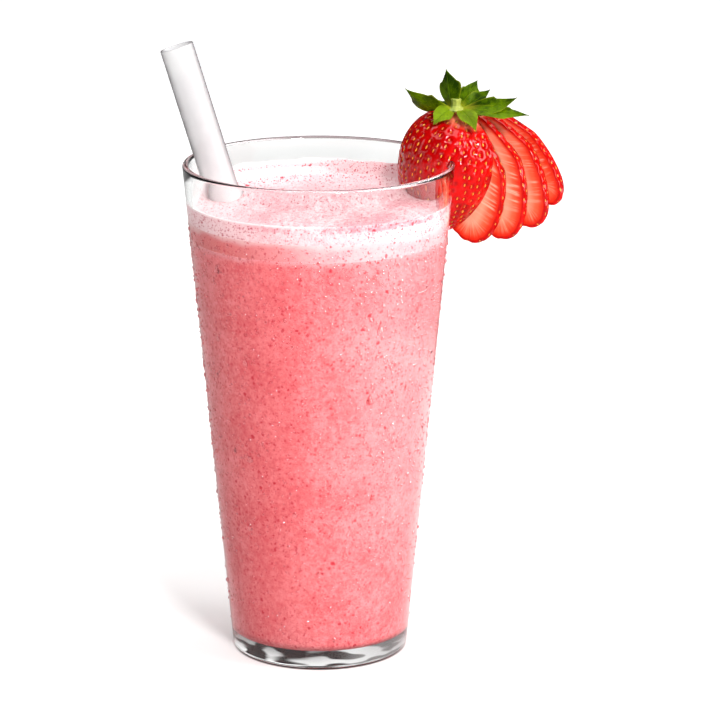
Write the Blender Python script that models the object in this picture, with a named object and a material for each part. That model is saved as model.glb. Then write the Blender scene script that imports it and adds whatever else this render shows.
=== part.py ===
"""Strawberry milkshake: a tall tapered tumbler, three layers of drink, a wide straw and a fanned
strawberry pushed on to the rim.

Metres, +Z up. The origin is the centre of the tumbler's flat underside. The straw leans to -X and
the strawberry sits on the rim at +X, a little towards +Y.
"""

import math

import bpy
from mathutils import Matrix, Vector
from mathutils.bvhtree import BVHTree

MM = 0.001
GAP = 0.3 * MM                    # clearance between pieces that touch

# Tumbler
GLASS_HEIGHT = 166.3 * MM
RIM_RADIUS = 45.0 * MM            # outside, at the very top
BASE_RADIUS = 29.4 * MM           # outside, where the straight wall would meet the table
WALL = 2.2 * MM
FLOOR = 6.0 * MM                  # thickness of the solid glass under the drink
HEEL_RADIUS = 1.5 * MM
FLOOR_FILLET = 3.0 * MM
TURNED_SIDES = 48

# Levels, measured down from the rim
SURFACE_BELOW_RIM = 14.2 * MM
MENISCUS_BELOW_RIM = 12.3 * MM    # where the foam touches the glass
MENISCUS_WIDTH = 5.0 * MM
HEAD_BELOW_RIM = 18.4 * MM        # underside of the white foam
FROTH_BELOW_RIM = 24.3 * MM       # underside of the pale froth
FOAM_UNEVEN = 0.35 * MM

# Straw
STRAW_RADIUS = 5.65 * MM
STRAW_WALL = 0.6 * MM
STRAW_AT_RIM = (-35.7 * MM, 10.0 * MM)
STRAW_LEAN = (-0.304, 0.025)      # metres sideways for each metre up
STRAW_TOP = 202.9 * MM            # height of the centre of its mouth
STRAW_BOTTOM = 9.5 * MM           # height of the centre of its lower end
STRAW_SIDES = 36
STRAW_RINGS = 5

# Strawberry: cut lengthwise, the near half left whole, the far half in fanned slices
FAN_TURN = math.radians(36.0)     # the cut faces look towards -Y, turned this far to -X
BERRY_TOP = (48.0 * MM, 15.0 * MM, 179.6 * MM)
BERRY_RADIUS = 17.2 * MM
BERRY_LENGTH = 43.8 * MM
BERRY_LEAN = math.radians(-18.0)  # the whole half's tip swings in over the rim
SHOULDER = 0.756                  # skews the widest place towards the leaves
ROUNDNESS = 0.53
PIT_DEPTH = 0.45 * MM
BERRY_COLUMNS = 26
BERRY_ROWS = 26

SLICE_THICKNESS = 3.5 * MM
SLICE_OVERLAP = 0.25 * MM         # slices are still joined where they press together
SLICE_LEANS = [math.radians(a) for a in (5.5, 20.5, 35.0, 47.5)]
SLICE_LENGTHS = [43.6 * MM, 43.9 * MM, 43.8 * MM, 41.4 * MM]
SLICE_HALF_WIDTHS = [13.4 * MM, 13.0 * MM, 11.6 * MM, 8.8 * MM]
SLICE_ROWS = 18
END_CAP = 3.5 * MM                # how far the last slice's skin bulges

# Seeds
SEED_LENGTH = 1.5 * MM
SEED_WIDTH = 1.0 * MM
SEED_PROUD = 0.35 * MM
SEED_SUNK = 0.35 * MM

# Leaves: heading of the tip round the stem, reach, rise, width, droop of the middle, twist
LEAF_THICKNESS = 0.55 * MM
CALYX_CENTRE = (45.5 * MM, 13.5 * MM, 181.4 * MM)
LEAF_CLEARANCE = 1.0 * MM         # from the berry to the middle of a leaf's thickness
LEAVES = [
    (188.7, 17.1, 7.4, 8.8, -4.8, 40.0),
    (158.8, 3.6, 13.2, 7.8, 0.0, 75.0),
    (28.9, 8.1, 9.0, 5.8, 0.0, 70.0),
    (10.4, 11.5, 6.2, 5.2, -1.0, 50.0),
    (-16.7, 20.8, 5.0, 6.6, -3.2, 45.0),
    (-24.5, 26.0, 0.0, 5.2, 0.0, 35.0),
    (227.1, 11.3, -3.6, 6.0, 2.2, -30.0),
    (301.3, 12.3, -5.4, 6.0, 2.8, 12.0),
    (117.6, 9.7, 0.8, 5.8, 1.2, 0.0),
    (70.9, 11.9, 0.6, 5.8, 1.4, 0.0),
]
LEAF_ALONG = 6
LEAF_ACROSS = 4
STEM_RADIUS = 1.7 * MM
STEM_HEIGHT = 3.6 * MM
COLLAR_RADIUS = 3.6 * MM
COLLAR_THICKNESS = 1.2 * MM


def clear_scene():
    for old in list(bpy.data.objects):
        bpy.data.objects.remove(old, do_unlink=True)


def make_material(name, colour, roughness, transmission=0.0):
    material = bpy.data.materials.new(name)
    material.use_nodes = True
    shader = material.node_tree.nodes["Principled BSDF"]
    shader.inputs["Base Color"].default_value = (*colour, 1.0)
    shader.inputs["Roughness"].default_value = roughness
    shader.inputs["Metallic"].default_value = 0.0
    shader.inputs["Transmission Weight"].default_value = transmission
    material.diffuse_color = (*colour, 1.0)
    return material


def add_object(name, vertices, faces, material=None):
    mesh = bpy.data.meshes.new(name)
    mesh.from_pydata([tuple(v) for v in vertices], [], faces)
    mesh.validate()
    if material:
        mesh.materials.append(material)
    piece = bpy.data.objects.new(name, mesh)
    bpy.context.scene.collection.objects.link(piece)
    return piece


def smooth(piece, angle=40.0):
    piece.data.shade_smooth()
    piece.data.set_sharp_from_angle(angle=math.radians(angle))


def hide_as_cutter(piece):
    piece.hide_render = True
    piece.display_type = "WIRE"


def add_boolean(piece, other, operation, solver="EXACT"):
    """Cut or join with another object; the modifier stays on the piece."""
    modifier = piece.modifiers.new(operation.lower() + " " + other.name, "BOOLEAN")
    modifier.operation = operation
    modifier.solver = solver
    if isinstance(other, bpy.types.Collection):
        modifier.operand_type = "COLLECTION"
        modifier.collection = other
    else:
        modifier.object = other


def apply_modifiers(piece):
    graph = bpy.context.evaluated_depsgraph_get()
    mesh = bpy.data.meshes.new_from_object(piece.evaluated_get(graph))
    mesh.name = piece.name
    piece.modifiers.clear()
    piece.data = mesh


def turned(name, profile, material=None, lift=None):
    """Turn a profile of (radius, height), which starts and ends on the axis, about Z.

    lift(x, y), where given, is added to the height of every point above the middle.
    """
    vertices = [(0.0, 0.0, profile[0][1])]
    for radius, height in profile[1:-1]:
        for side in range(TURNED_SIDES):
            angle = 2.0 * math.pi * side / TURNED_SIDES
            vertices.append((radius * math.cos(angle), radius * math.sin(angle), height))
    vertices.append((0.0, 0.0, profile[-1][1]))
    if lift:
        middle = 0.5 * (profile[0][1] + profile[-1][1])
        vertices = [(x, y, z + lift(x, y)) if z > middle else (x, y, z) for x, y, z in vertices]
    faces = []
    last = len(vertices) - 1
    rings = len(profile) - 2
    for side in range(TURNED_SIDES):
        after = (side + 1) % TURNED_SIDES
        faces.append((0, 1 + after, 1 + side))
        for ring in range(rings - 1):
            low = 1 + ring * TURNED_SIDES
            high = low + TURNED_SIDES
            faces.append((low + side, low + after, high + after, high + side))
        top = 1 + (rings - 1) * TURNED_SIDES
        faces.append((top + side, top + after, last))
    return add_object(name, vertices, faces, material)


def arc(centre, radius, start, stop, steps):
    """Points on an arc in the (radius, height) plane, angles in degrees."""
    points = []
    for step in range(steps + 1):
        angle = math.radians(start + (stop - start) * step / steps)
        points.append((centre[0] + radius * math.cos(angle), centre[1] + radius * math.sin(angle)))
    return points


def outer_radius(height):
    return BASE_RADIUS + (RIM_RADIUS - BASE_RADIUS) * height / GLASS_HEIGHT


def inner_radius(height):
    return outer_radius(height) - WALL


def inside_corner(inset):
    """The rounded corner between floor and wall, moved inwards and upwards by the inset."""
    height = FLOOR + FLOOR_FILLET
    centre = (inner_radius(height) - FLOOR_FILLET, height)
    return arc(centre, FLOOR_FILLET - inset, -90.0, 0.0, 4)


# --- Tumbler ---------------------------------------------------------------------------------

def build_glass(material):
    lip = WALL / 2.0
    profile = [(0.0, 0.0)]
    profile += arc((BASE_RADIUS - HEEL_RADIUS, HEEL_RADIUS), HEEL_RADIUS, -90.0, 0.0, 4)
    profile += arc((RIM_RADIUS - lip, GLASS_HEIGHT - lip), lip, 0.0, 180.0, 6)
    profile += reversed(inside_corner(0.0))
    profile.append((0.0, FLOOR))
    glass = turned("glass", profile, material)
    smooth(glass)
    return glass


def rim_cutter():
    """The top of the glass wall, grown by the gap, which makes the slot in the strawberry."""
    top = GLASS_HEIGHT + GAP
    bottom = GLASS_HEIGHT - 45.0 * MM
    section = [
        (outer_radius(bottom) + GAP, bottom),
        (RIM_RADIUS + GAP, top - WALL / 2.0),
        (RIM_RADIUS - WALL * 0.3, top),
        (RIM_RADIUS - WALL * 0.7, top),
        (RIM_RADIUS - WALL - GAP, top - WALL / 2.0),
        (inner_radius(bottom) - GAP, bottom),
    ]
    sides = 2 * TURNED_SIDES
    vertices = []
    for side in range(sides):
        angle = 2.0 * math.pi * side / sides
        for radius, height in section:
            vertices.append((radius * math.cos(angle), radius * math.sin(angle), height))
    faces = []
    count = len(section)
    for side in range(sides):
        here = side * count
        there = ((side + 1) % sides) * count
        for point in range(count):
            after = (point + 1) % count
            faces.append((here + point, there + point, there + after, here + after))
    cutter = add_object("rim_cutter", vertices, faces)
    hide_as_cutter(cutter)
    return cutter


# --- Straw -----------------------------------------------------------------------------------

def straw_axis():
    return Vector((STRAW_LEAN[0], STRAW_LEAN[1], 1.0)).normalized()


def straw_point(height):
    rise = height - GLASS_HEIGHT
    return Vector((STRAW_AT_RIM[0] + STRAW_LEAN[0] * rise, STRAW_AT_RIM[1] + STRAW_LEAN[1] * rise,
                   height))


def tube(name, low, high, outer, inner, rings, material=None):
    """A tube along the straw's axis with square-cut ends; inner 0 makes a solid rod."""
    axis = straw_axis()
    across = axis.cross(Vector((0.0, 1.0, 0.0))).normalized()
    along = axis.cross(across)
    start = straw_point(low)
    span = straw_point(high) - start
    loops = [(outer, k / (rings - 1)) for k in range(rings)]
    if inner:
        loops += [(inner, k / (rings - 1)) for k in reversed(range(rings))]
    vertices = []
    for radius, share in loops:
        for side in range(STRAW_SIDES):
            angle = 2.0 * math.pi * side / STRAW_SIDES
            spoke = across * math.cos(angle) + along * math.sin(angle)
            vertices.append(start + span * share + spoke * radius)
    faces = []
    joins = len(loops) if inner else len(loops) - 1
    for loop in range(joins):
        low_ring = loop * STRAW_SIDES
        high_ring = ((loop + 1) % len(loops)) * STRAW_SIDES
        for side in range(STRAW_SIDES):
            after = (side + 1) % STRAW_SIDES
            faces.append((low_ring + side, low_ring + after, high_ring + after, high_ring + side))
    if not inner:
        faces.append(tuple(reversed(range(STRAW_SIDES))))
        top = (len(loops) - 1) * STRAW_SIDES
        faces.append(tuple(range(top, top + STRAW_SIDES)))
    return add_object(name, vertices, faces, material)


def level_rod(name, low, high, radius):
    """A leaning rod along the straw's axis whose ends are level, as drink in the straw is."""
    axis = straw_axis()
    heading = math.atan2(STRAW_LEAN[1], STRAW_LEAN[0])
    turn = Matrix.Rotation(heading, 3, "Z")
    vertices = []
    for height in (low, high):
        for side in range(STRAW_SIDES):
            angle = 2.0 * math.pi * side / STRAW_SIDES
            spoke = Vector((radius / axis.z * math.cos(angle), radius * math.sin(angle), 0.0))
            vertices.append(straw_point(height) + turn @ spoke)
    faces = [tuple(reversed(range(STRAW_SIDES)))]
    faces.append(tuple(range(STRAW_SIDES, 2 * STRAW_SIDES)))
    for side in range(STRAW_SIDES):
        after = (side + 1) % STRAW_SIDES
        faces.append((side, after, STRAW_SIDES + after, STRAW_SIDES + side))
    return add_object(name, vertices, faces)


def build_straw(material):
    straw = tube("straw", STRAW_BOTTOM, STRAW_TOP, STRAW_RADIUS, STRAW_RADIUS - STRAW_WALL,
                 STRAW_RINGS, material)
    smooth(straw)
    return straw


# --- Drink -----------------------------------------------------------------------------------

def level(below_rim):
    return GLASS_HEIGHT - below_rim


def wall_point(height):
    return (inner_radius(height) - GAP, height)


def foam_lift(x, y):
    """The foam's small waves, and its climb to the glass round the edge."""
    radius = math.hypot(x, y)
    edge = inner_radius(level(SURFACE_BELOW_RIM)) - GAP
    climb = max(0.0, (radius - edge + MENISCUS_WIDTH) / MENISCUS_WIDTH)
    waves = math.sin(x * 210.0 + 1.0) * math.cos(y * 170.0) + 0.6 * math.sin((x + y) * 330.0)
    fade = max(0.0, 1.0 - climb * 2.0)
    rise = (SURFACE_BELOW_RIM - MENISCUS_BELOW_RIM) * climb ** 2
    return rise + FOAM_UNEVEN * waves * fade


def build_milkshake(material, pocket):
    low = FLOOR + GAP
    high = level(FROTH_BELOW_RIM)
    profile = [(0.0, low)] + inside_corner(GAP)
    for share in (0.35, 0.7):
        profile.append(wall_point(FLOOR + FLOOR_FILLET + share * (high - FLOOR - FLOOR_FILLET)))
    profile += [wall_point(high), (0.6 * inner_radius(high), high), (0.0, high)]
    milkshake = turned("milkshake", profile, material)

    core_radius = STRAW_RADIUS - STRAW_WALL - GAP
    core = level_rod("drink_in_straw", 0.5 * high, level(SURFACE_BELOW_RIM), core_radius)
    sleeve = tube("straw_sleeve", STRAW_BOTTOM - GAP, STRAW_TOP, STRAW_RADIUS + GAP, core_radius, 2)
    hide_as_cutter(core)
    hide_as_cutter(sleeve)
    add_boolean(milkshake, core, "UNION")
    add_boolean(milkshake, sleeve, "DIFFERENCE")
    add_boolean(milkshake, pocket, "DIFFERENCE")
    smooth(milkshake)
    return milkshake


def build_froth(material, pocket, straw_hole):
    low = level(FROTH_BELOW_RIM) + GAP
    high = level(HEAD_BELOW_RIM) - GAP / 2.0
    profile = [(0.0, low), (0.6 * inner_radius(low), low), wall_point(low), wall_point(high),
               (0.6 * inner_radius(high), high), (0.0, high)]
    froth = turned("pale_froth", profile, material)
    add_boolean(froth, straw_hole, "DIFFERENCE")
    add_boolean(froth, pocket, "DIFFERENCE")
    smooth(froth)
    return froth


def build_foam(material, pocket, straw_hole):
    low = level(HEAD_BELOW_RIM) + GAP / 2.0
    high = level(SURFACE_BELOW_RIM)
    edge = inner_radius(high) - GAP
    profile = [(0.0, low), (0.6 * inner_radius(low), low), wall_point(low), (edge, high)]
    for inward in (0.15, 0.4, 0.7, 1.0, 1.9, 2.9, 4.1, 5.4, 6.9):
        profile.append((edge - inward * MENISCUS_WIDTH, high))
    profile.append((0.0, high))
    foam = turned("foam_head", profile, material, lift=foam_lift)
    add_boolean(foam, straw_hole, "DIFFERENCE")
    add_boolean(foam, pocket, "DIFFERENCE")
    smooth(foam)
    return foam


# --- Strawberry ------------------------------------------------------------------------------

ACROSS = Vector((math.cos(FAN_TURN), -math.sin(FAN_TURN), 0.0))   # along a cut face, to the right
INWARD = Vector((math.sin(FAN_TURN), math.cos(FAN_TURN), 0.0))    # away from the whole half
UPWARD = Vector((0.0, 0.0, 1.0))


def fan_axes(lean):
    """Directions down the length and across a half or slice that leans in the cutting plane."""
    down = ACROSS * math.sin(lean) - UPWARD * math.cos(lean)
    right = ACROSS * math.cos(lean) + UPWARD * math.sin(lean)
    return down, right


def berry_profile(share):
    """Radius of the whole strawberry, as a share of its widest, down its length from 0 to 1."""
    return math.sin(math.pi * share ** SHOULDER) ** ROUNDNESS


def slice_profile(share):
    """Half-width of a slice: narrow where it hangs from the leaves, broad and round at its tip."""
    neck = min(1.0, 0.55 + share)
    return neck * math.sin(math.pi * share) ** 0.45


def even_share(step, steps):
    """Spread steps so that they crowd at both ends, where the outline turns fastest."""
    return 0.5 - 0.5 * math.cos(math.pi * step / steps)


def berry_point(row, column, swell=0.0):
    """A point on the skin of the whole half, and the way the skin faces there."""
    down, right = fan_axes(BERRY_LEAN)
    share = even_share(row, BERRY_ROWS)
    angle = math.pi * column / BERRY_COLUMNS
    outward = right * math.cos(angle) - INWARD * math.sin(angle)
    radius = BERRY_RADIUS * berry_profile(share) + swell
    place = Vector(BERRY_TOP) + down * (BERRY_LENGTH * share) + outward * radius
    facing = (outward + down * (2.0 * share - 0.9)).normalized()
    return place, facing


def is_seed(row, column):
    """Seeds stand on every second row and column, each row shifted by half a pitch."""
    inside = 2 <= row <= BERRY_ROWS - 2 and 1 <= column <= BERRY_COLUMNS - 1
    return inside and row % 2 == 0 and column % 2 == (row // 2) % 2


def build_half_berry(material):
    """The half left whole: half a turn of the berry's outline, closed by the flat cut face."""
    rows = range(1, BERRY_ROWS)
    stride = BERRY_COLUMNS + 1
    vertices = [Vector(BERRY_TOP)]
    for row in rows:
        for column in range(stride):
            place, facing = berry_point(row, column)
            if is_seed(row, column):
                place = place - facing * PIT_DEPTH
            vertices.append(place)
    down, _ = fan_axes(BERRY_LEAN)
    vertices.append(Vector(BERRY_TOP) + down * BERRY_LENGTH)
    last = len(vertices) - 1
    faces = []
    for column in range(BERRY_COLUMNS):
        faces.append((0, 2 + column, 1 + column))
        end = 1 + (BERRY_ROWS - 2) * stride
        faces.append((end + column, end + column + 1, last))
    for row in range(BERRY_ROWS - 2):
        start = 1 + row * stride
        for column in range(BERRY_COLUMNS):
            a = start + column
            b = a + 1
            c = b + stride
            d = a + stride
            if is_seed(row + 1, column) or is_seed(row + 2, column + 1):
                faces.append((a, b, c))
                faces.append((a, c, d))
            else:
                faces.append((a, b, d))
                faces.append((b, c, d))
        faces.append((start, start + stride, start + stride + BERRY_COLUMNS, start + BERRY_COLUMNS))
    faces.append((0, 1, 1 + BERRY_COLUMNS))
    faces.append((last, end + BERRY_COLUMNS, end))
    return add_object("strawberry_flesh", vertices, faces, material)


def build_slice(number):
    """One slice: a stack of outlines in parallel planes, the last one closed by a skin dome."""
    lean = SLICE_LEANS[number]
    down, right = fan_axes(lean)
    front = number * SLICE_THICKNESS - SLICE_OVERLAP
    layers = [(front, 1.0), (front + 0.3 * SLICE_THICKNESS, 1.025),
              (front + 0.75 * SLICE_THICKNESS, 1.01), ((number + 1) * SLICE_THICKNESS, 0.96)]
    if number == len(SLICE_LEANS) - 1:
        back = layers[-1][0]
        layers += [(back + 0.55 * END_CAP, 0.80), (back + 0.9 * END_CAP, 0.5),
                   (back + END_CAP, 0.2)]
    ring = 2 * SLICE_ROWS
    vertices = []
    middle = 0.5 * SLICE_LENGTHS[number]
    for depth, size in layers:
        for step in range(ring):
            share = even_share(step, SLICE_ROWS)
            side = 1.0 if step < SLICE_ROWS else -1.0
            offset = side * size * SLICE_HALF_WIDTHS[number] * slice_profile(share)
            along = middle + size * (share * SLICE_LENGTHS[number] - middle)
            vertices.append(Vector(BERRY_TOP) + INWARD * depth + down * along + right * offset)
    faces = []
    for layer in range(len(layers) - 1):
        here = layer * ring
        for step in range(ring):
            after = (step + 1) % ring
            faces.append((here + step, here + after, here + ring + after, here + ring + step))
    for layer, turn in ((0, False), (len(layers) - 1, True)):
        here = layer * ring
        strip = [(here, here + ring - 1, here + 1)]
        for step in range(1, SLICE_ROWS - 1):
            strip.append((here + step, here + ring - step, here + ring - step - 1, here + step + 1))
        strip.append((here + SLICE_ROWS - 1, here + SLICE_ROWS + 1, here + SLICE_ROWS))
        faces += [tuple(reversed(face)) for face in strip] if turn else strip
    return add_object("slice_" + str(number + 1), vertices, faces)


def seed(number, place, facing, down):
    """A seed: a low four-sided pyramid, longer down the berry, its foot sunk in the skin."""
    side = down.cross(facing).normalized()
    length = facing.cross(side).normalized()
    foot = place - facing * SEED_SUNK
    corners = [foot + length * SEED_LENGTH / 2.0, foot + side * SEED_WIDTH / 2.0,
               foot - length * SEED_LENGTH / 2.0, foot - side * SEED_WIDTH / 2.0]
    vertices = corners + [place + facing * SEED_PROUD]
    faces = [(1, 0, 4), (2, 1, 4), (3, 2, 4), (0, 3, 4), (0, 1, 2, 3)]
    return add_object("seed_" + str(number), vertices, faces)


def build_seeds():
    seeds = []
    down, _ = fan_axes(BERRY_LEAN)
    for row in range(1, BERRY_ROWS):
        for column in range(1, BERRY_COLUMNS):
            if is_seed(row, column):
                place, facing = berry_point(row, column)
                seeds.append(seed(len(seeds), place - facing * PIT_DEPTH, facing, down))
    return seeds


def build_strawberry(material, slot):
    berry = build_half_berry(material)
    loose = bpy.data.collections.new("joined to the berry")
    bpy.context.scene.collection.children.link(loose)
    pieces = [build_slice(number) for number in range(len(SLICE_LEANS))] + build_seeds()
    for piece in pieces:
        bpy.context.scene.collection.objects.unlink(piece)
        loose.objects.link(piece)
    # The exact solver leaves open edges where hundreds of seeds meet the pits.
    add_boolean(berry, loose, "UNION", "MANIFOLD")
    add_boolean(berry, slot, "DIFFERENCE", "MANIFOLD")
    apply_modifiers(berry)
    for piece in pieces:
        bpy.data.objects.remove(piece, do_unlink=True)
    bpy.data.collections.remove(loose)
    smooth(berry, 30.0)
    return berry


def berry_pocket():
    """The whole berry, grown by a little more than the gap: what it keeps out of the foam."""
    down, right = fan_axes(BERRY_LEAN)
    swell = 1.6 * GAP
    rows = 20
    columns = 32
    start = Vector(BERRY_TOP) - down * swell
    length = BERRY_LENGTH + 2.0 * swell
    vertices = [start]
    for row in range(1, rows):
        share = even_share(row, rows)
        radius = (BERRY_RADIUS + swell) * berry_profile(share)
        for column in range(columns):
            angle = 2.0 * math.pi * column / columns
            outward = right * math.cos(angle) - INWARD * math.sin(angle)
            vertices.append(start + down * (length * share) + outward * radius)
    vertices.append(start + down * length)
    last = len(vertices) - 1
    faces = []
    for column in range(columns):
        after = (column + 1) % columns
        faces.append((0, 1 + after, 1 + column))
        end = 1 + (rows - 2) * columns
        faces.append((end + column, end + after, last))
        for row in range(rows - 2):
            here = 1 + row * columns
            faces.append((here + column, here + after, here + columns + after,
                          here + columns + column))
    pocket = add_object("berry_pocket", vertices, faces)
    hide_as_cutter(pocket)
    return pocket


# --- Leaves ----------------------------------------------------------------------------------

def clear_of_berry(point, berry):
    """Move a point outwards until it stands off the berry's skin by the clearance."""
    middle = Vector(BERRY_TOP) - UPWARD * (0.5 * BERRY_LENGTH)
    outward = (point - middle).normalized()
    for _ in range(12):
        nearest, facing, _, distance = berry.find_nearest(point)
        if (point - nearest).dot(facing) < 0.0:
            distance = -distance
        if distance >= LEAF_CLEARANCE:
            break
        point = point + outward * (LEAF_CLEARANCE - distance + 0.02 * MM)
    return point


def build_leaf(berry, number, heading, reach, rise, width, droop, twist):
    """A pointed leaf: a curved midrib, a lens outline, a shallow fold and a wavy edge."""
    towards = Vector((math.cos(math.radians(heading)), math.sin(math.radians(heading)), 0.0))
    start = Vector(CALYX_CENTRE) + towards * (0.4 * COLLAR_RADIUS)
    tip = Vector(CALYX_CENTRE) + towards * (reach * MM) + UPWARD * (rise * MM)
    lifted = 0.5 * (start + tip) + UPWARD * (droop * MM)
    sheets = {1.0: [], -1.0: []}
    for step in range(LEAF_ALONG + 1):
        share = step / LEAF_ALONG
        rib = start * (1 - share) ** 2 + lifted * (2 * share * (1 - share)) + tip * share ** 2
        forward = ((lifted - start) * (1 - share) + (tip - lifted) * share).normalized()
        level_side = forward.cross(UPWARD)
        level_side = level_side.normalized() if level_side.length > 0.2 else towards.cross(UPWARD)
        side = Matrix.Rotation(math.radians(twist), 3, forward) @ level_side
        normal = side.cross(forward).normalized()
        spread = 0.5 * width * MM * (0.15 * (1 - share) ** 3 + math.sin(math.pi * share ** 0.85) ** 1.2)
        spread = max(spread, 0.25 * MM)
        for cross in range(LEAF_ACROSS + 1):
            out = 2.0 * cross / LEAF_ACROSS - 1.0
            fold = 0.22 * abs(out) * spread
            wave = 0.35 * MM * out * math.sin(7.0 * share + number + out)
            middle = clear_of_berry(rib + side * (out * spread) + normal * (fold + wave), berry)
            thick = LEAF_THICKNESS * (0.5 - 0.22 * abs(out))
            for face in sheets:
                sheets[face].append(middle + normal * (thick * face))
    vertices = sheets[1.0] + sheets[-1.0]
    under = len(sheets[1.0])
    across = LEAF_ACROSS + 1
    faces = []
    for step in range(LEAF_ALONG):
        for cross in range(LEAF_ACROSS):
            a = step * across + cross
            b = a + 1
            c = b + across
            d = a + across
            faces += [(a, b, c), (a, c, d)]
            faces += [(under + c, under + b, under + a), (under + d, under + c, under + a)]
        left = step * across
        right = left + LEAF_ACROSS
        faces.append((left, left + across, under + left + across, under + left))
        faces.append((right + across, right, under + right, under + right + across))
    for cross in range(LEAF_ACROSS):
        far = LEAF_ALONG * across + cross
        faces.append((cross + 1, cross, under + cross, under + cross + 1))
        faces.append((far, far + 1, under + far + 1, under + far))
    return add_object("leaf_" + str(number), vertices, faces)


def build_calyx(material, flesh):
    """The collar and the cut stem, turned in one, with the leaves joined to it."""
    berry = BVHTree.FromPolygons([vertex.co for vertex in flesh.data.vertices],
                                 [tuple(face.vertices) for face in flesh.data.polygons])
    sides = 14
    x, y, z = CALYX_CENTRE
    half = 0.5 * COLLAR_THICKNESS
    section = [(COLLAR_RADIUS * 0.8, -half), (COLLAR_RADIUS, 0.0), (COLLAR_RADIUS * 0.6, half),
               (STEM_RADIUS * 0.85, half + 0.3 * STEM_HEIGHT), (STEM_RADIUS, 0.8 * STEM_HEIGHT),
               (STEM_RADIUS * 0.8, STEM_HEIGHT)]
    vertices = []
    for radius, height in section:
        for side in range(sides):
            angle = 2.0 * math.pi * side / sides
            vertices.append((x + radius * math.cos(angle), y + radius * math.sin(angle),
                             z + height))
    faces = [tuple(reversed(range(sides)))]
    for ring in range(len(section) - 1):
        here = ring * sides
        for side in range(sides):
            after = (side + 1) % sides
            faces.append((here + side, here + after, here + sides + after, here + sides + side))
    top = (len(section) - 1) * sides
    faces.append(tuple(range(top, top + sides)))
    calyx = add_object("strawberry_leaves", vertices, faces, material)

    loose = bpy.data.collections.new("joined to the collar")
    bpy.context.scene.collection.children.link(loose)
    leaves = [build_leaf(berry, number, *sizes) for number, sizes in enumerate(LEAVES)]
    for leaf in leaves:
        bpy.context.scene.collection.objects.unlink(leaf)
        loose.objects.link(leaf)
    add_boolean(calyx, loose, "UNION", "MANIFOLD")
    apply_modifiers(calyx)
    for leaf in leaves:
        bpy.data.objects.remove(leaf, do_unlink=True)
    bpy.data.collections.remove(loose)
    smooth(calyx, 50.0)
    return calyx


def main():
    clear_scene()
    build_glass(make_material("clear glass", (0.95, 0.97, 0.97), 0.02, 1.0))
    pocket = berry_pocket()
    straw_hole = tube("straw_hole", STRAW_BOTTOM, STRAW_TOP, STRAW_RADIUS + GAP, 0.0, 2)
    hide_as_cutter(straw_hole)
    build_milkshake(make_material("strawberry shake", (0.86, 0.24, 0.26), 0.45), pocket)
    build_froth(make_material("pale froth", (0.98, 0.68, 0.71), 0.5), pocket, straw_hole)
    build_foam(make_material("white foam", (1.0, 0.90, 0.90), 0.6), pocket, straw_hole)
    build_straw(make_material("frosted plastic", (0.88, 0.88, 0.9), 0.25, 0.6))
    flesh = build_strawberry(make_material("strawberry", (0.75, 0.02, 0.01), 0.3), rim_cutter())
    build_calyx(make_material("leaf green", (0.08, 0.26, 0.02), 0.5), flesh)


main()
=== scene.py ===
"""Strawberry milkshake in a tall tapered tumbler, with a wide straw and a fan-cut strawberry.

Metres, +Z up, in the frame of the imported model: the origin is the middle of the tumbler's base.
"""

import math

import bmesh
import bpy
import numpy as np
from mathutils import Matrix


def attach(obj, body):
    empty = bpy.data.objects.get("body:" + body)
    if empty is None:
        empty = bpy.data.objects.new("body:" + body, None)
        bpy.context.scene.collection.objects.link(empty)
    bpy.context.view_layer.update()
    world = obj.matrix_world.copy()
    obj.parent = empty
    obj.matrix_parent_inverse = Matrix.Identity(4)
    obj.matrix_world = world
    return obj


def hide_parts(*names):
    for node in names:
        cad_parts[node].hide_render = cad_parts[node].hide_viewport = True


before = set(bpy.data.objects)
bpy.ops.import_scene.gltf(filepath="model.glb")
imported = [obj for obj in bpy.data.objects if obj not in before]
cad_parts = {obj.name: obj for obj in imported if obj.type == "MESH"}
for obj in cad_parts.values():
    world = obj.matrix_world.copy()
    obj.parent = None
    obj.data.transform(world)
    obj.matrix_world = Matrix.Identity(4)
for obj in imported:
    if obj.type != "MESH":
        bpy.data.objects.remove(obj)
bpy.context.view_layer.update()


# --- Studio ------------------------------------------------------------------------------------
# A white table under large soft boxes: one overhead, a strong one at the right and a weak one at
# the left, with the camera a little above the rim.

MM = 0.001
SENSOR_WIDTH = 36.0
LENS = 186.08
CAMERA_PLACE = (0.01363, -1.2, 0.4202)
CAMERA_PITCH = math.radians(14.99)
# name, place, point it faces, width, height, watts
SOFT_BOXES = (
    ("overhead", (0.05, 0.1, 0.95), (0.0, 0.0, 0.1), 1.0, 0.9, 7.6),
    ("right", (0.93, -0.24, 0.45), (0.0, 0.0, 0.12), 0.45, 0.7, 5.9),
    ("window", (0.36, -0.92, 0.85), (0.03, 0.0, 0.16), 0.21, 0.21, 11.0),
    ("left", (-0.9, -0.2, 0.45), (0.0, 0.0, 0.1), 0.2, 0.7, 1.1),
)
TABLE_REACH = 4.0
TABLE_DROP = 0.3 * MM
WHITE = (1.0, 1.0, 1.0, 1.0)


def new_object(name, data):
    """An object for a light, camera or mesh, linked into the scene."""
    made = bpy.data.objects.new(name, data)
    bpy.context.collection.objects.link(made)
    return made


def new_material(name):
    """An empty Principled material: its node tree and its shader."""
    material = bpy.data.materials.new(name)
    material.use_nodes = True
    tree = material.node_tree
    return material, tree, tree.nodes["Principled BSDF"]


def fill(tree, node, values):
    """Set or link each named or numbered input of a node."""
    for socket, value in values.items():
        if isinstance(value, bpy.types.NodeSocket):
            tree.links.new(value, node.inputs[socket])
        else:
            node.inputs[socket].default_value = value
    return node


def add_node(tree, kind, values=None, **settings):
    """Add a node, set its options, and fill its inputs."""
    made = tree.nodes.new(kind)
    for option, value in settings.items():
        setattr(made, option, value)
    return fill(tree, made, values or {})


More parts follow.
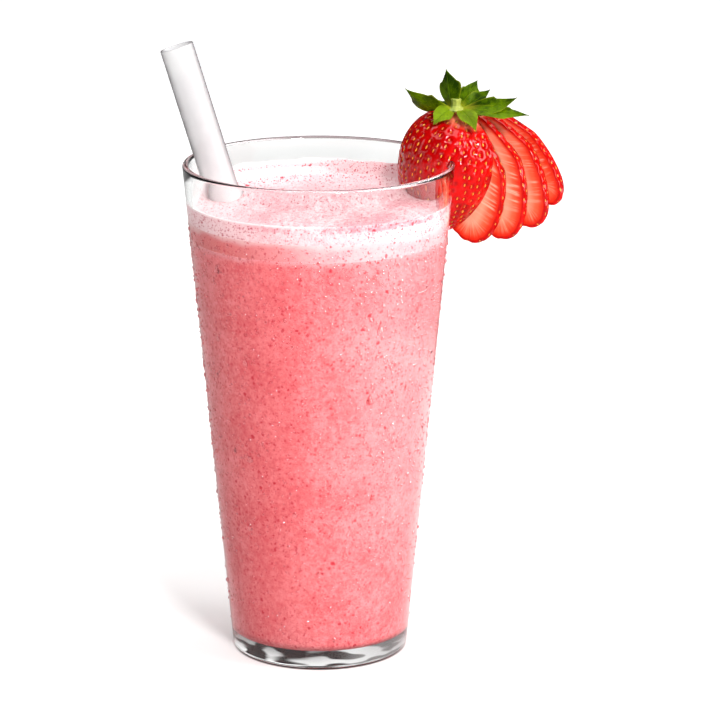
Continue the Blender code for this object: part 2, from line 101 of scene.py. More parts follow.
def math_node(tree, operation, first, second=0.0, third=0.0):
    """One arithmetic step on values or sockets."""
    made = add_node(tree, "ShaderNodeMath", {0: first, 1: second, 2: third}, operation=operation)
    return made.outputs[0]


def product(tree, first, *others):
    """Values or sockets multiplied together."""
    for other in others:
        first = math_node(tree, "MULTIPLY", first, other)
    return first


def largest(tree, first, *others):
    """The largest of some values or sockets."""
    for other in others:
        first = math_node(tree, "MAXIMUM", first, other)
    return first


def less(tree, share):
    """What a share leaves of one."""
    return math_node(tree, "SUBTRACT", 1.0, share)


def rise(tree, value, low, high, start=0.0, stop=1.0):
    """A smooth step: start below low, stop above high."""
    made = add_node(tree, "ShaderNodeMapRange",
                    {"Value": value, "From Min": low, "From Max": high, "To Min": start,
                     "To Max": stop}, interpolation_type="SMOOTHSTEP")
    return made.outputs["Result"]


def paint(tree, colour, *layers):
    """A colour with others laid over it, each by a share that changes over the surface."""
    for share, over in layers:
        colour = add_node(tree, "ShaderNodeMix", {0: share, 6: colour, 7: over},
                          data_type="RGBA").outputs[2]
    return colour


def place_of(tree, kind="Object"):
    """Where each point lies. In the sky, Generated is the way each point is seen."""
    return add_node(tree, "ShaderNodeTexCoord").outputs[kind]


def axes(tree, vector):
    """X, Y and Z of a vector."""
    return add_node(tree, "ShaderNodeSeparateXYZ", {0: vector}).outputs


def stretch(tree, vector, scale):
    """A vector with each axis multiplied by its own factor."""
    return add_node(tree, "ShaderNodeVectorMath", {0: vector, 1: scale}, operation="MULTIPLY").outputs[0]


def noise(tree, vector, scale, detail=2.0, roughness=0.5):
    """Soft noise round 0.5, with a number of waves in each unit of the vector."""
    made = add_node(tree, "ShaderNodeTexNoise", {"Vector": vector, "Scale": scale, "Detail": detail,
                                                 "Roughness": roughness})
    return made.outputs[0]


camera_data = bpy.data.cameras.new("camera")
camera_data.lens = LENS
camera_data.sensor_width = SENSOR_WIDTH
camera = new_object("camera", camera_data)
camera.location = CAMERA_PLACE
camera.rotation_euler = (0.5 * math.pi - CAMERA_PITCH, 0.0, 0.0)
bpy.context.scene.camera = camera
bpy.context.scene.view_settings.view_transform = "Standard"

for name, place, aim, width, height, watts in SOFT_BOXES:
    lamp = bpy.data.lights.new(name, "AREA")
    lamp.shape = "RECTANGLE"
    lamp.size = width
    lamp.size_y = height
    lamp.energy = watts
    soft_box = new_object(name, lamp)
    soft_box.location = place
    back = np.array(place) - np.array(aim)
    back = back / np.linalg.norm(back)
    soft_box.rotation_euler = (math.acos(back[2]), 0.0, math.atan2(back[1], back[0]) + math.pi / 2)

# The room is pale and dimmer to the left and overhead. Glass shows it with bright panels behind,
# a strip light at the upper right, and a dark card at the left.
world = bpy.data.worlds.new("studio")
world.use_nodes = True
bpy.context.scene.world = world
sky = world.node_tree
ray = add_node(sky, "ShaderNodeLightPath").outputs
way = place_of(sky, "Generated")
to_right, to_back, upwards = axes(sky, way)
overhead = math_node(sky, "MULTIPLY_ADD", ray["Is Transmission Ray"],
                     rise(sky, to_right, 0.1, -0.3, 0.0, 0.6), 0.2)
around = product(sky, rise(sky, to_right, -0.9, 0.9, 0.35, 0.95),
                 rise(sky, upwards, 0.12, 0.4, 1.0, overhead))
panels = rise(sky, noise(sky, stretch(sky, way, (3.2, 0.3, 13.0)), 1.0, 1.0), 0.44, 0.53,
              rise(sky, to_right, -0.1, -0.4, 0.02, 0.6), 2.0)
behind = product(sky, rise(sky, to_back, 0.0, 0.1), rise(sky, upwards, 0.04, 0.12),
                 rise(sky, upwards, 0.5, 0.38))
panels = math_node(sky, "MULTIPLY_ADD", behind, math_node(sky, "SUBTRACT", panels, 1.0), 1.0)
mirrored = product(sky, ray["Is Glossy Ray"], less(sky, ray["Is Transmission Ray"]))
sharp = product(sky, mirrored, ray["Is Singular Ray"])
blurred = product(sky, math_node(sky, "SUBTRACT", mirrored, sharp), 0.8)
left_card = product(sky, mirrored, rise(sky, to_right, 0.1, -0.3, 0.0, 0.4))
around = product(sky, around, panels, less(sky, left_card), less(sky, blurred))
strip_light = product(sky, rise(sky, to_right, 0.34, 0.5), rise(sky, upwards, 0.42, 0.6, 0.0, 14.0))
around = math_node(sky, "MULTIPLY_ADD", sharp, strip_light, around)
around = largest(sky, around, product(sky, ray["Is Camera Ray"], 1.1))
fill(sky, sky.nodes["Background"], {"Color": WHITE, "Strength": around})

# The table lies just under the glass. Its emission is painted light: it glows a little away from
# the glass. Where the base stands its colour is painted near black, a painted contact shadow, and
# glass that mirrors it shows it dimmed, a painted dark reflection.
white, tree, shader = new_material("white table")
place = place_of(tree)
x = axes(tree, place)[0]
from_middle = add_node(tree, "ShaderNodeVectorMath", {0: place}, operation="LENGTH").outputs["Value"]
outside_painted_shadow = rise(tree, from_middle, 0.0280, 0.0298)
ray = add_node(tree, "ShaderNodeLightPath").outputs
in_glass = product(tree, ray["Is Glossy Ray"], less(tree, ray["Is Transmission Ray"]))
dark_left = rise(tree, x, 0.0, -0.12, 0.0, 0.55)
dark_far = product(tree, rise(tree, x, 0.0, 0.05), rise(tree, from_middle, 0.29, 0.40, 0.0, 0.75))
dull = product(tree, less(tree, ray["Is Singular Ray"]), 0.85)
painted_dark_reflection = product(tree, in_glass, largest(tree, dark_left, dark_far, dull))
seen = math_node(tree, "MULTIPLY_ADD", ray["Is Camera Ray"], 0.5, 0.5)
painted_glow = product(tree, rise(tree, from_middle, 0.045, 0.4, 0.15, 0.72), outside_painted_shadow, seen, less(tree, painted_dark_reflection))
under = paint(tree, (0.015, 0.012, 0.012, 1.0), (outside_painted_shadow, (0.93, 0.925, 0.92, 1.0)),
              (painted_dark_reflection, (0.05, 0.05, 0.05, 1.0)))
fill(tree, shader, {"Base Color": under, "Roughness": 0.55, "Specular IOR Level": 0.2,
                    "Emission Color": WHITE, "Emission Strength": painted_glow})
table_mesh = bpy.data.meshes.new("table")
corners = [(x_way * TABLE_REACH, y_way * TABLE_REACH, -TABLE_DROP)
           for x_way, y_way in ((-1, -1), (1, -1), (1, 1), (-1, 1))]
table_mesh.from_pydata(corners, [], [(0, 1, 2, 3)])
table_mesh.materials.append(white)
table = new_object("table", table_mesh)


# --- Tumbler -----------------------------------------------------------------------------------
# A heavy pressed tumbler of clear soda glass: straight tapered wall, fire-polished lip, thick
# solid base with a rounded heel. It is pressed in one piece.

GLASS_HEIGHT = 166.3 * MM
RIM_RADIUS = 45.0 * MM
BASE_RADIUS = 29.4 * MM
WALL = 2.2 * MM
FLOOR = 6.0 * MM
HEEL_ROUNDING = 1.5 * MM
FLOOR_FILLET = 3.0 * MM
WET_FROM, WET_TO = 6.0 * MM, 148.0 * MM
SIDES = 256
WELD_REACH = 2e-6
SHARP_ANGLE = math.radians(50.0)


def outer_radius(height):
    """Radius of the straight taper at a height."""
    return BASE_RADIUS + (RIM_RADIUS - BASE_RADIUS) * height / GLASS_HEIGHT


def inner_radius(height):
    """Radius of the inside of the wall at a height."""
    return outer_radius(height) - WALL


def arc(centre, radius, start, stop, steps):
    """Points (radius, height) on an arc, evenly spaced in angle, given in degrees."""
    angles = np.radians(np.linspace(start, stop, steps + 1))
    return np.stack([centre[0] + radius * np.cos(angles), centre[1] + radius * np.sin(angles)], 1)


def full_turn(steps):
    """Angles evenly spaced over a full turn."""
    return np.linspace(0.0, 2.0 * np.pi, steps, endpoint=False)


def turned_grid(profile, sides=SIDES):
    """Each (radius, height) of a profile carried round Z: radius cos a, radius sin a, height."""
    angles = full_turn(sides)
    radius = profile[:, :1]
    height = np.repeat(profile[:, 1:], sides, axis=1)
    return np.stack([radius * np.cos(angles), radius * np.sin(angles), height], 2)


def grid_quads(rows, columns, closed_rows=False):
    """Four corners of each cell of a grid whose vertices are numbered row by row."""
    row, column = np.meshgrid(np.arange(rows if closed_rows else rows - 1), np.arange(columns),
                              indexing="ij")
    low = row * columns
    high = ((row + 1) % rows) * columns
    after = (column + 1) % columns
    return np.stack([low + column, low + after, high + after, high + column], 2).reshape(-1, 4)


def grid_mesh(name, points, quads, materials):
    """A mesh from arrays of points and of four-cornered faces."""
    mesh = bpy.data.meshes.new(name)
    mesh.from_pydata(points.reshape(-1, 3).tolist(), [], quads.tolist())
    for material in materials:
        mesh.materials.append(material)
    return mesh


def add_piece(name, points, node, materials, quads=None, kinds=None, marks=None):
    """A closed mesh from arrays: coincident points are welded, and faces turned outwards.

    The points are one grid unless quads are given. kinds numbers each face's material; marks
    are named values carried by the points.
    """
    quads = grid_quads(*points.shape[:2]) if quads is None else quads
    mesh = grid_mesh(name, points, quads, materials)
    if kinds is not None:
        mesh.polygons.foreach_set("material_index", np.asarray(kinds, dtype=np.int32))
    for mark, values in (marks or {}).items():
        layer = mesh.attributes.new(mark, "FLOAT", "POINT")
        values = np.broadcast_to(values, points.shape[:-1])
        layer.data.foreach_set("value", np.asarray(values, dtype=np.float32).ravel())
    work = bmesh.new()
    work.from_mesh(mesh)
    bmesh.ops.remove_doubles(work, verts=work.verts, dist=WELD_REACH)
    bmesh.ops.dissolve_degenerate(work, edges=work.edges, dist=1e-7)
    if work.calc_volume(signed=True) < 0.0:
        bmesh.ops.reverse_faces(work, faces=work.faces)
    work.to_mesh(mesh)
    work.free()
    mesh.shade_smooth()
    mesh.set_sharp_from_angle(angle=SHARP_ANGLE)
    piece = new_object(name, mesh)
    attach(piece, "root")
    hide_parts(node)
    return piece


def mark_of(tree, name):
    """A named value that the points of a piece carry."""
    return add_node(tree, "ShaderNodeAttribute", attribute_name=name).outputs["Fac"]


def clear_shader(name, colour, index, edge=None, coat=None):
    """Clear glass or water; shadow rays pass straight through it, so light reaches inside.

    It takes the edge colour where the mark edge is 1, as painted shade. Where the mark wet is 1,
    it is painted dark red as it slants away: painted shade along the outline of the wet wall.
    """
    material, tree, shader = new_material(name)
    if edge:
        facing = add_node(tree, "ShaderNodeLayerWeight").outputs["Facing"]
        painted_slant_shade = product(tree, rise(tree, facing, 0.78, 0.92), mark_of(tree, "wet"))
        colour = paint(tree, colour, (painted_slant_shade, (0.5, 0.08, 0.09, 1.0)), (mark_of(tree, "edge"), edge))
    fill(tree, shader, {"Base Color": colour, "Roughness": 0.0, "IOR": index,
                        "Transmission Weight": 1.0})
    fill(tree, shader, coat or {})
    ray = add_node(tree, "ShaderNodeLightPath").outputs
    through = add_node(tree, "ShaderNodeBsdfTransparent", {"Color": (0.93, 0.93, 0.93, 1.0)})
    mixed = add_node(tree, "ShaderNodeMixShader", {0: ray["Is Shadow Ray"], 1: shader.outputs[0],
                                                   2: through.outputs[0]})
    fill(tree, tree.nodes["Material Output"], {"Surface": mixed.outputs[0]})
    return material


def between(start, stop, steps):
    """Evenly spaced points on a line, without its two ends."""
    share = np.linspace(0.0, 1.0, steps + 1)[1:-1, None]
    return start * (1.0 - share) + stop * share


lip = WALL / 2.0
corner = FLOOR + FLOOR_FILLET
taper = math.atan((RIM_RADIUS - BASE_RADIUS) / GLASS_HEIGHT)
slope = math.degrees(taper)
aslant = 1.0 / math.cos(taper)
lip_centre = (outer_radius(GLASS_HEIGHT - lip) - lip * aslant, GLASS_HEIGHT - lip)
heel_arc = arc((outer_radius(HEEL_ROUNDING) - HEEL_ROUNDING * aslant, HEEL_ROUNDING), HEEL_ROUNDING,
               -90.0, -slope, 10)
lip_arc = arc(lip_centre, lip, -slope, 180.0 - slope, 18)
floor_arc = arc((inner_radius(corner) - FLOOR_FILLET * aslant, corner), FLOOR_FILLET, -slope, -90.0, 12)
glass_profile = np.vstack([[(0.0, 0.0)], heel_arc, between(heel_arc[-1], lip_arc[0], 34), lip_arc,
                           between(lip_arc[-1], floor_arc[0], 34), floor_arc, [(0.0, FLOOR)]])
clear_glass = clear_shader("clear glass", (0.985, 0.995, 0.99, 1.0), 1.5, (0.09, 0.055, 0.06, 1.0))
glass_grid = turned_grid(glass_profile)
on_lip = np.clip((glass_profile[:, 1] - GLASS_HEIGHT + 1.0 * MM) / (0.4 * MM), 0.0, 1.0)
outer_wall = ((glass_profile[:, 0] > outer_radius(glass_profile[:, 1]) - 0.3 * MM)
              & (glass_profile[:, 1] > WET_FROM) & (glass_profile[:, 1] < WET_TO))
# The lip takes the dark edge colour, painted shade, darkest at the back of the glass and fading out towards
# the front.
add_piece("tumbler", glass_grid, "glass", [clear_glass],
          marks={"edge": on_lip[:, None] * np.clip(0.1 + 1.2 * glass_grid[..., 1] / RIM_RADIUS, 0.0, 1.0),
                 "wet": outer_wall[:, None]})


# --- Shake and froth ---------------------------------------------------------------------------
# The blended drink and the pale froth above it: milk and crushed strawberry, opaque, flecked
# with skin and seed. Both fill the tumbler and reach just into its wall.

INTO_WALL = 0.15 * MM
LAYER_GAP = 0.02 * MM
FROTH_TOP = GLASS_HEIGHT - 18.4 * MM
SHAKE_TOP = GLASS_HEIGHT - 24.3 * MM
# cells per metre, size in a cell, share kept and strength of each sort of fleck
PULP_FLECKS = ((1400.0, 0.50, 1.0, 0.5), (760.0, 0.46, 0.55, 0.75), (400.0, 0.32, 0.2, 0.95))


def srgb(*colour):
    """Display colours of 0 to 255 as the linear values that shaders take."""
    shares = [value / 255.0 for value in colour]
    linear = [s / 12.92 if s <= 0.04045 else ((s + 0.055) / 1.055) ** 2.4 for s in shares]
    return (*linear, 1.0)


def fleck_group():
    """Small scattered flecks: one in each Voronoi cell that a random draw keeps."""
    tree = bpy.data.node_groups.new("flecks", "ShaderNodeTree")
    for name, kind in (("Vector", "NodeSocketVector"), ("Cells per metre", "NodeSocketFloat"),
                       ("Size", "NodeSocketFloat"), ("Share kept", "NodeSocketFloat")):
        tree.interface.new_socket(name, in_out="INPUT", socket_type=kind)
    tree.interface.new_socket("Mask", in_out="OUTPUT", socket_type="NodeSocketFloat")
    given = tree.nodes.new("NodeGroupInput").outputs
    ragged = add_node(tree, "ShaderNodeTexNoise", {"Vector": given["Vector"], "Scale": 1400.0,
                                                   "Detail": 1.0})
    pushed = add_node(tree, "ShaderNodeVectorMath", {0: ragged.outputs["Color"],
                                                     1: (0.0011, 0.0011, 0.0011),
                                                     2: given["Vector"]}, operation="MULTIPLY_ADD")
    cells = add_node(tree, "ShaderNodeTexVoronoi",
                     {"Vector": pushed.outputs[0], "Scale": given["Cells per metre"]}).outputs
    chance = add_node(tree, "ShaderNodeSeparateColor", {0: cells["Color"]}).outputs
    size = product(tree, given["Size"], math_node(tree, "MULTIPLY_ADD", chance[0], 0.7, 0.3))
    inside = rise(tree, math_node(tree, "DIVIDE", cells["Distance"], size), 0.7, 1.05, 1.0, 0.0)
    kept = math_node(tree, "LESS_THAN", chance[1], given["Share kept"])
    fill(tree, tree.nodes.new("NodeGroupOutput"), {"Mask": product(tree, inside, kept)})
    return tree


flecks = fleck_group()


def fleck_layers(tree, vector, sorts, colour, kept=1.0, near=1.0):
    """Layers of flecks to paint. kept thins all of them out; near is 1 where they lie."""
    layers = []
    for cells, size, share, strength in sorts:
        mask = add_node(tree, "ShaderNodeGroup",
                        {"Vector": vector, "Cells per metre": cells, "Size": size,
                         "Share kept": share * kept}, node_tree=flecks).outputs["Mask"]
        layers.append((product(tree, mask, near, strength), colour))
    return layers


def pulp_material(name, pale, rich, fleck, mottle, kept, top, above, painted_left_shade=None):
    """Opaque drink: two colours mottled at 2 and 8 mm, under fine and coarse red flecks.

    It turns into the colour of the layer above over the last few millimetres below its top.
    Where a colour for the -X side is given, that side takes it as painted shade.
    """
    material, tree, shader = new_material(name)
    place = place_of(tree)
    x, _, z = axes(tree, place)
    broad = noise(tree, place, 70.0)
    cloud = math_node(tree, "MULTIPLY_ADD", noise(tree, place, 520.0, 4.0, 0.75), 0.7,
                      product(tree, broad, 0.3))
    # Painted shade: a darker band just left of the middle. Painted light: paler to the right, more so
    # higher up.
    painted_shade_band = product(tree, rise(tree, x, 0.0, -0.012, 0.0, 0.28), rise(tree, x, -0.030, -0.018))
    painted_paler_right = rise(tree, x, -0.004, 0.026, 0.0, rise(tree, z, 0.02, 0.08, 0.0, 0.14))
    layers = [(rise(tree, cloud, 0.5 - mottle, 0.5 + mottle), rich), (painted_shade_band, rich),
              (painted_paler_right, srgb(246, 208, 212))]
    if painted_left_shade:
        layers.append((rise(tree, x, 0.012, -0.032, 0.0, 0.9), painted_left_shade))
    ragged = math_node(tree, "MULTIPLY_ADD", broad, 0.004, z)
    layers.append((rise(tree, ragged, top - 0.5 * MM, top + 2.2 * MM, 0.0, 0.6), above))
    layers += fleck_layers(tree, place, PULP_FLECKS, fleck, kept)
    fill(tree, shader, {"Base Color": paint(tree, pale, *layers), "Roughness": 0.5,
                        "Specular IOR Level": 0.3})
    return material


shake_pulp = pulp_material("strawberry shake", srgb(239, 139, 142), srgb(215, 82, 89),
                           srgb(196, 0, 34), 0.17, 0.76, SHAKE_TOP, srgb(234, 174, 176))
froth_pulp = pulp_material("pale froth", srgb(238, 186, 188), srgb(228, 158, 164),
                           srgb(190, 20, 50), 0.14, 0.45, FROTH_TOP, srgb(236, 212, 212),
                           srgb(216, 102, 102))
drink_corner = arc((inner_radius(corner) - FLOOR_FILLET, corner), FLOOR_FILLET + INTO_WALL,
                   -90.0, 0.0, 12)
shake_profile = np.vstack([[(0.0, FLOOR - INTO_WALL)], drink_corner,
                           [(inner_radius(SHAKE_TOP) + INTO_WALL, SHAKE_TOP), (0.0, SHAKE_TOP)]])
add_piece("shake", turned_grid(shake_profile), "milkshake", [shake_pulp])
froth_foot = SHAKE_TOP + LAYER_GAP
froth_profile = np.array([(0.0, froth_foot), (inner_radius(SHAKE_TOP) + INTO_WALL, froth_foot),
                          (inner_radius(FROTH_TOP) + INTO_WALL, FROTH_TOP), (0.0, FROTH_TOP)])
add_piece("froth", turned_grid(froth_profile), "pale_froth", [froth_pulp])


# --- Foam head ---------------------------------------------------------------------------------
# White foam with pulp in it, slightly wavy. It climbs the glass all round, and poured drink has
# left a thin film of it higher up the back wall.

SURFACE = GLASS_HEIGHT - 14.2 * MM
CONTACT = GLASS_HEIGHT - 12.3 * MM
FILM_TOP = GLASS_HEIGHT - 7.7 * MM
MENISCUS_WIDTH = 5.0 * MM
FILM_FOOT_THICK = 0.45 * MM
FILM_EDGE_THICK = 0.06 * MM
FOAM_FLECKS = ((1500.0, 0.46, 0.9, 0.8), (950.0, 0.39, 0.7, 0.9), (420.0, 0.30, 0.22, 1.0))


def film_height(angle):
    """Upper edge of the film at an angle round the glass: high at the back, nothing in front."""
    back = np.clip((np.sin(angle + 0.15) + 0.1) / 0.85, 0.0, 1.0)
    step = back * back * (3.0 - 2.0 * back)
    ragged = 0.25 * MM * np.sin(9.0 * angle) + 0.18 * MM * np.sin(23.0 * angle + 1.0)
    return CONTACT + (FILM_TOP - CONTACT + ragged) * step + 0.02 * MM


def foam_grid():
    """Rows from the underside's middle out, up the wall, over the film's edge and back in.

    The surface is small sine waves plus a quadratic rise over the last few millimetres.
    """
    angle = full_turn(2 * SIDES)
    top = film_height(angle)
    foot = FROTH_TOP + LAYER_GAP
    rows = [(0.0 * angle, 0.0 * angle + foot)]
    for share in np.linspace(0.0, 1.0, 6):
        height = foot + (top - FROTH_TOP) * share
        rows.append((inner_radius(height) + INTO_WALL, height))
    edge = inner_radius(CONTACT) - FILM_FOOT_THICK
    for share in np.linspace(0.92, 0.0, 9):
        height = CONTACT + (top - CONTACT) * share
        thick = FILM_EDGE_THICK * share + FILM_FOOT_THICK * (1.0 - share)
        rows.append((inner_radius(height) - thick, height))
    for radius in edge * (1.0 - np.linspace(0.0, 1.0, 110) ** 1.15)[1:]:
        x = radius * np.cos(angle)
        y = radius * np.sin(angle)
        climb = np.clip((radius - edge + MENISCUS_WIDTH) / MENISCUS_WIDTH, 0.0, 1.0)
        waves = np.sin(x * 210.0 + 1.0) * np.cos(y * 170.0) + 0.6 * np.sin((x + y) * 330.0)
        froth = np.sin(x * 1900.0 + 3.0 * np.sin(y * 900.0)) * np.sin(y * 1700.0 + 2.0 * np.sin(x * 800.0))
        lift = (CONTACT - SURFACE) * climb ** 2 + (0.3 * waves + 0.05 * froth) * MM * (1.0 - climb)
        rows.append((radius + 0.0 * angle, SURFACE + lift))
    radius = np.array([row[0] for row in rows])
    height = np.array([row[1] for row in rows])
    return np.stack([radius * np.cos(angle), radius * np.sin(angle), height], 2)


def relief(tree, height, strength, distance):
    """Normals of a fine relief, its height given from 0 to 1."""
    return add_node(tree, "ShaderNodeBump", {"Strength": strength, "Distance": distance,
                                             "Height": height}).outputs[0]


foam, tree, shader = new_material("white foam")
place = place_of(tree)
x, y, z = axes(tree, place)
drawn_out = stretch(tree, place, (1.0, 0.5, 1.0))
cloud = math_node(tree, "MULTIPLY_ADD", noise(tree, drawn_out, 650.0, 5.0, 0.75), 0.6,
                  product(tree, noise(tree, drawn_out, 75.0, 3.0, 0.6), 0.4))
# Painted light: the foam's sides are paler than its top, more so to the right. The top is whiter to the
# left and to the back, a painted highlight, and the film is painted near white, painted light, except at
# the right and along its row of specks.
pink_top_painted_pale_sides = rise(tree, z, SURFACE - 0.8 * MM, SURFACE + 0.1 * MM,
              rise(tree, x, 0.0, 30.0 * MM, 0.6, 0.15), 1.0)
rightward = rise(tree, x, -8.0 * MM, 10.0 * MM)
off_film = largest(tree, product(tree, rightward, 0.6),
                   rise(tree, z, SURFACE + 1.2 * MM, SURFACE + 2.6 * MM, 1.0, 0.0))
pink = product(tree, rise(tree, cloud, 0.36, 0.60), pink_top_painted_pale_sides, off_film,
               rise(tree, y, 0.0, 34.0 * MM, 1.0, 0.45),
               rise(tree, x, -34.0 * MM, -8.0 * MM, 0.45, 1.0))
red_flecks = fleck_layers(tree, drawn_out, FOAM_FLECKS, srgb(180, 20, 54),
                          near=rise(tree, cloud, 0.40, 0.52, 0.4, 1.0))
speck_row = product(tree, rise(tree, z, FILM_TOP - 2.7 * MM, FILM_TOP - 2.3 * MM),
                    rise(tree, z, FILM_TOP - 1.1 * MM, FILM_TOP - 1.5 * MM))
painted_light_film = product(tree, rise(tree, z, SURFACE + 0.9 * MM, SURFACE + 2.2 * MM, 0.0, 0.7),
                     less(tree, largest(tree, speck_row, rightward)))
colour = paint(tree, srgb(242, 214, 216), (pink, srgb(217, 138, 148)), *red_flecks,
               (painted_light_film, srgb(255, 250, 250)))
pores = add_node(tree, "ShaderNodeTexVoronoi", {"Vector": place, "Scale": 1300.0}).outputs["Distance"]
fill(tree, shader, {"Base Color": colour, "Roughness": 0.4,
                    "Normal": relief(tree, pores, 0.35, 0.0003)})
add_piece("foam", foam_grid(), "foam_head", [foam])


# --- Straw -------------------------------------------------------------------------------------
# A wide drinking straw of frosted polypropylene, extruded as one tube and cut square, its ends
# very slightly rounded. It leans on the rim and stands in the drink.

STRAW_RADIUS = 5.65 * MM
STRAW_WALL = 0.6 * MM
STRAW_AT_RIM = np.array((-35.7 * MM, 10.0 * MM, GLASS_HEIGHT))
STRAW_LEAN = np.array((-0.304, 0.025, 1.0))
STRAW_TOP = 202.9 * MM
STRAW_BOTTOM = 9.5 * MM


def straw_grid():
    """A closed section, outer wall up and bore down, carried round the leaning axis."""
    axis = STRAW_LEAN / np.linalg.norm(STRAW_LEAN)
    across = np.cross(axis, (0.0, 1.0, 0.0))
    across /= np.linalg.norm(across)
    along = np.cross(axis, across)
    start = STRAW_AT_RIM + STRAW_LEAN * (STRAW_BOTTOM - GLASS_HEIGHT)
    length = (STRAW_TOP - STRAW_BOTTOM) / axis[2]
    half = 0.5 * STRAW_WALL
    runs = np.linspace(half, length - half, 40)
    outer = np.stack([0.0 * runs + STRAW_RADIUS, runs], 1)
    mouth = arc((STRAW_RADIUS - half, length - half), half, 0.0, 180.0, 8)[1:-1]
    inner = np.stack([0.0 * runs + STRAW_RADIUS - STRAW_WALL, runs[::-1]], 1)
    foot = arc((STRAW_RADIUS - half, half), half, 180.0, 360.0, 8)[1:-1]
    section = np.vstack([outer, mouth, inner, foot])
    angle = full_turn(96)
    spokes = np.cos(angle)[:, None] * across + np.sin(angle)[:, None] * along
    return start + section[:, 1, None, None] * axis + section[:, 0, None, None] * spokes[None]


frosted, tree, shader = new_material("frosted plastic")
facing = add_node(tree, "ShaderNodeLayerWeight").outputs["Facing"]
haze = rise(tree, noise(tree, place_of(tree), 90.0, 3.0), 0.35, 0.65)
# The base colour is painted grey where the tube is seen at a slant: painted shade along its outline.
colour = paint(tree, srgb(253, 253, 253), (haze, srgb(246, 245, 246)),
               (rise(tree, facing, 0.18, 0.95, 0.0, 0.95), srgb(128, 121, 124)))
fill(tree, shader, {"Base Color": colour, "Roughness": 0.25, "IOR": 1.49,
                    "Transmission Weight": 0.5})
tube = straw_grid()
add_piece("straw_tube", tube, "straw", [frosted],
          grid_quads(*tube.shape[:2], closed_rows=True))


# --- Strawberry --------------------------------------------------------------------------------
# A fresh strawberry cut lengthwise from the tip almost to the leaves: the near half is whole,
# the far half is cut in four slices, fanned to the right and still joined at the neck.

UP = np.array((0.0, 0.0, 1.0))
FAN_TURN = math.radians(36.0)
ACROSS = np.array((math.cos(FAN_TURN), -math.sin(FAN_TURN), 0.0))
INWARD = np.array((math.sin(FAN_TURN), math.cos(FAN_TURN), 0.0))
BERRY_TOP = np.array((48.0 * MM, 15.0 * MM, 179.6 * MM))
BERRY_RADIUS = 17.2 * MM
BERRY_LENGTH = 43.8 * MM
BERRY_LEAN = math.radians(-18.0)
PIT_DEPTH = 0.55 * MM
SEED_PITCH = 3.25 * MM
LINE_SLOPE = 0.42
draw = np.random.default_rng(7)


def fan_axes(lean):
    """Directions down the length and to the right of a half or slice that leans in its plane."""
    down = ACROSS * math.sin(lean) - UP * math.cos(lean)
    right = ACROSS * math.cos(lean) + UP * math.sin(lean)
    return down, right


def grid_normals(grid, outside):
    """Unit normals of a grid by crossing its two gradients, pointing along outside."""
    first = np.gradient(grid, axis=0)
    second = np.gradient(grid, axis=1)
    normal = np.cross(first, second)
    normal /= np.linalg.norm(normal, axis=2, keepdims=True) + 1e-15
    return normal * np.sign(np.sum(normal * outside, axis=2, keepdims=True) + 1e-12)


def lengthwise_on(normals, down):
    """Unit directions down the berry that lie in its skin."""
    along = down - normals * (normals @ down)[:, None]
    return along / (np.linalg.norm(along, axis=1, keepdims=True) + 1e-9)


def press_pits(grid, normals, down, index, depth):
    """Sink the skin near seeds at (row, column), back to full height at half the pitch.

    The pits are oval, longer down the berry than across it. Returns each seed's place, outward
    and lengthwise axes, the new grid, and a mark from 0 on the ridges to 1 under a seed.
    """
    rows, columns = np.array(index).T
    at_seeds = normals[rows, columns]
    frames = np.stack([grid[rows, columns], at_seeds, lengthwise_on(at_seeds, down)], 1)
    flat = grid.reshape(-1, 3)
    outward = normals.reshape(-1, 3)
    lengthwise = lengthwise_on(outward, down)
    nearest = np.full(len(flat), 1.0)
    for seed in frames[:, 0]:
        away = flat - seed
        along = np.sum(away * lengthwise, axis=1)
        across = np.maximum(np.sum(away * away, axis=1) - along * along, 0.0)
        nearest = np.minimum(nearest, across + (along / 1.25) ** 2)
    share = np.clip(np.sqrt(nearest) / (0.5 * SEED_PITCH), 0.0, 1.0)
    sunk = 1.0 - share * share * (3.0 - 2.0 * share)
    moved = flat - outward * (depth * sunk)[:, None]
    return frames, moved.reshape(grid.shape), sunk.reshape(grid.shape[:2])


def clear_of_wall(frames, margin=0.9 * MM):
    """Keep the seeds that the glass wall doesn't pass through."""
    place = frames[:, 0]
    radius = np.hypot(place[:, 0], place[:, 1])
    under_rim = place[:, 2] < GLASS_HEIGHT + margin
    in_wall = (radius > inner_radius(place[:, 2]) - margin) & (radius < outer_radius(place[:, 2]) + margin)
    return frames[~(under_rim & in_wall)]


skin, tree, shader = new_material("strawberry skin")
place = place_of(tree)
x = axes(tree, place)[0]
neck = product(tree, mark_of(tree, "neck"), rise(tree, noise(tree, place, 330.0), 0.3, 0.6, 0.55, 1.0))
colour = paint(tree, srgb(206, 8, 6),
               (rise(tree, noise(tree, place, 140.0, 4.0), 0.35, 0.68), srgb(172, 2, 4)),
               # Painted shade: the skin is darker in the pits.
               (rise(tree, mark_of(tree, "pit"), 0.25, 0.95, 0.0, 0.6), srgb(146, 0, 4)),
               # Painted shade: darker towards -X. The pale neck is the berry's own colour.
               (rise(tree, x, 0.048, 0.034, 0.0, 0.35), srgb(112, 0, 4)), (neck, srgb(250, 150, 110)))
fill(tree, shader, {"Base Color": colour, "Roughness": 0.06, "Specular IOR Level": 0.15,
                    "Coat Weight": 0.5, "Coat Roughness": 0.02})

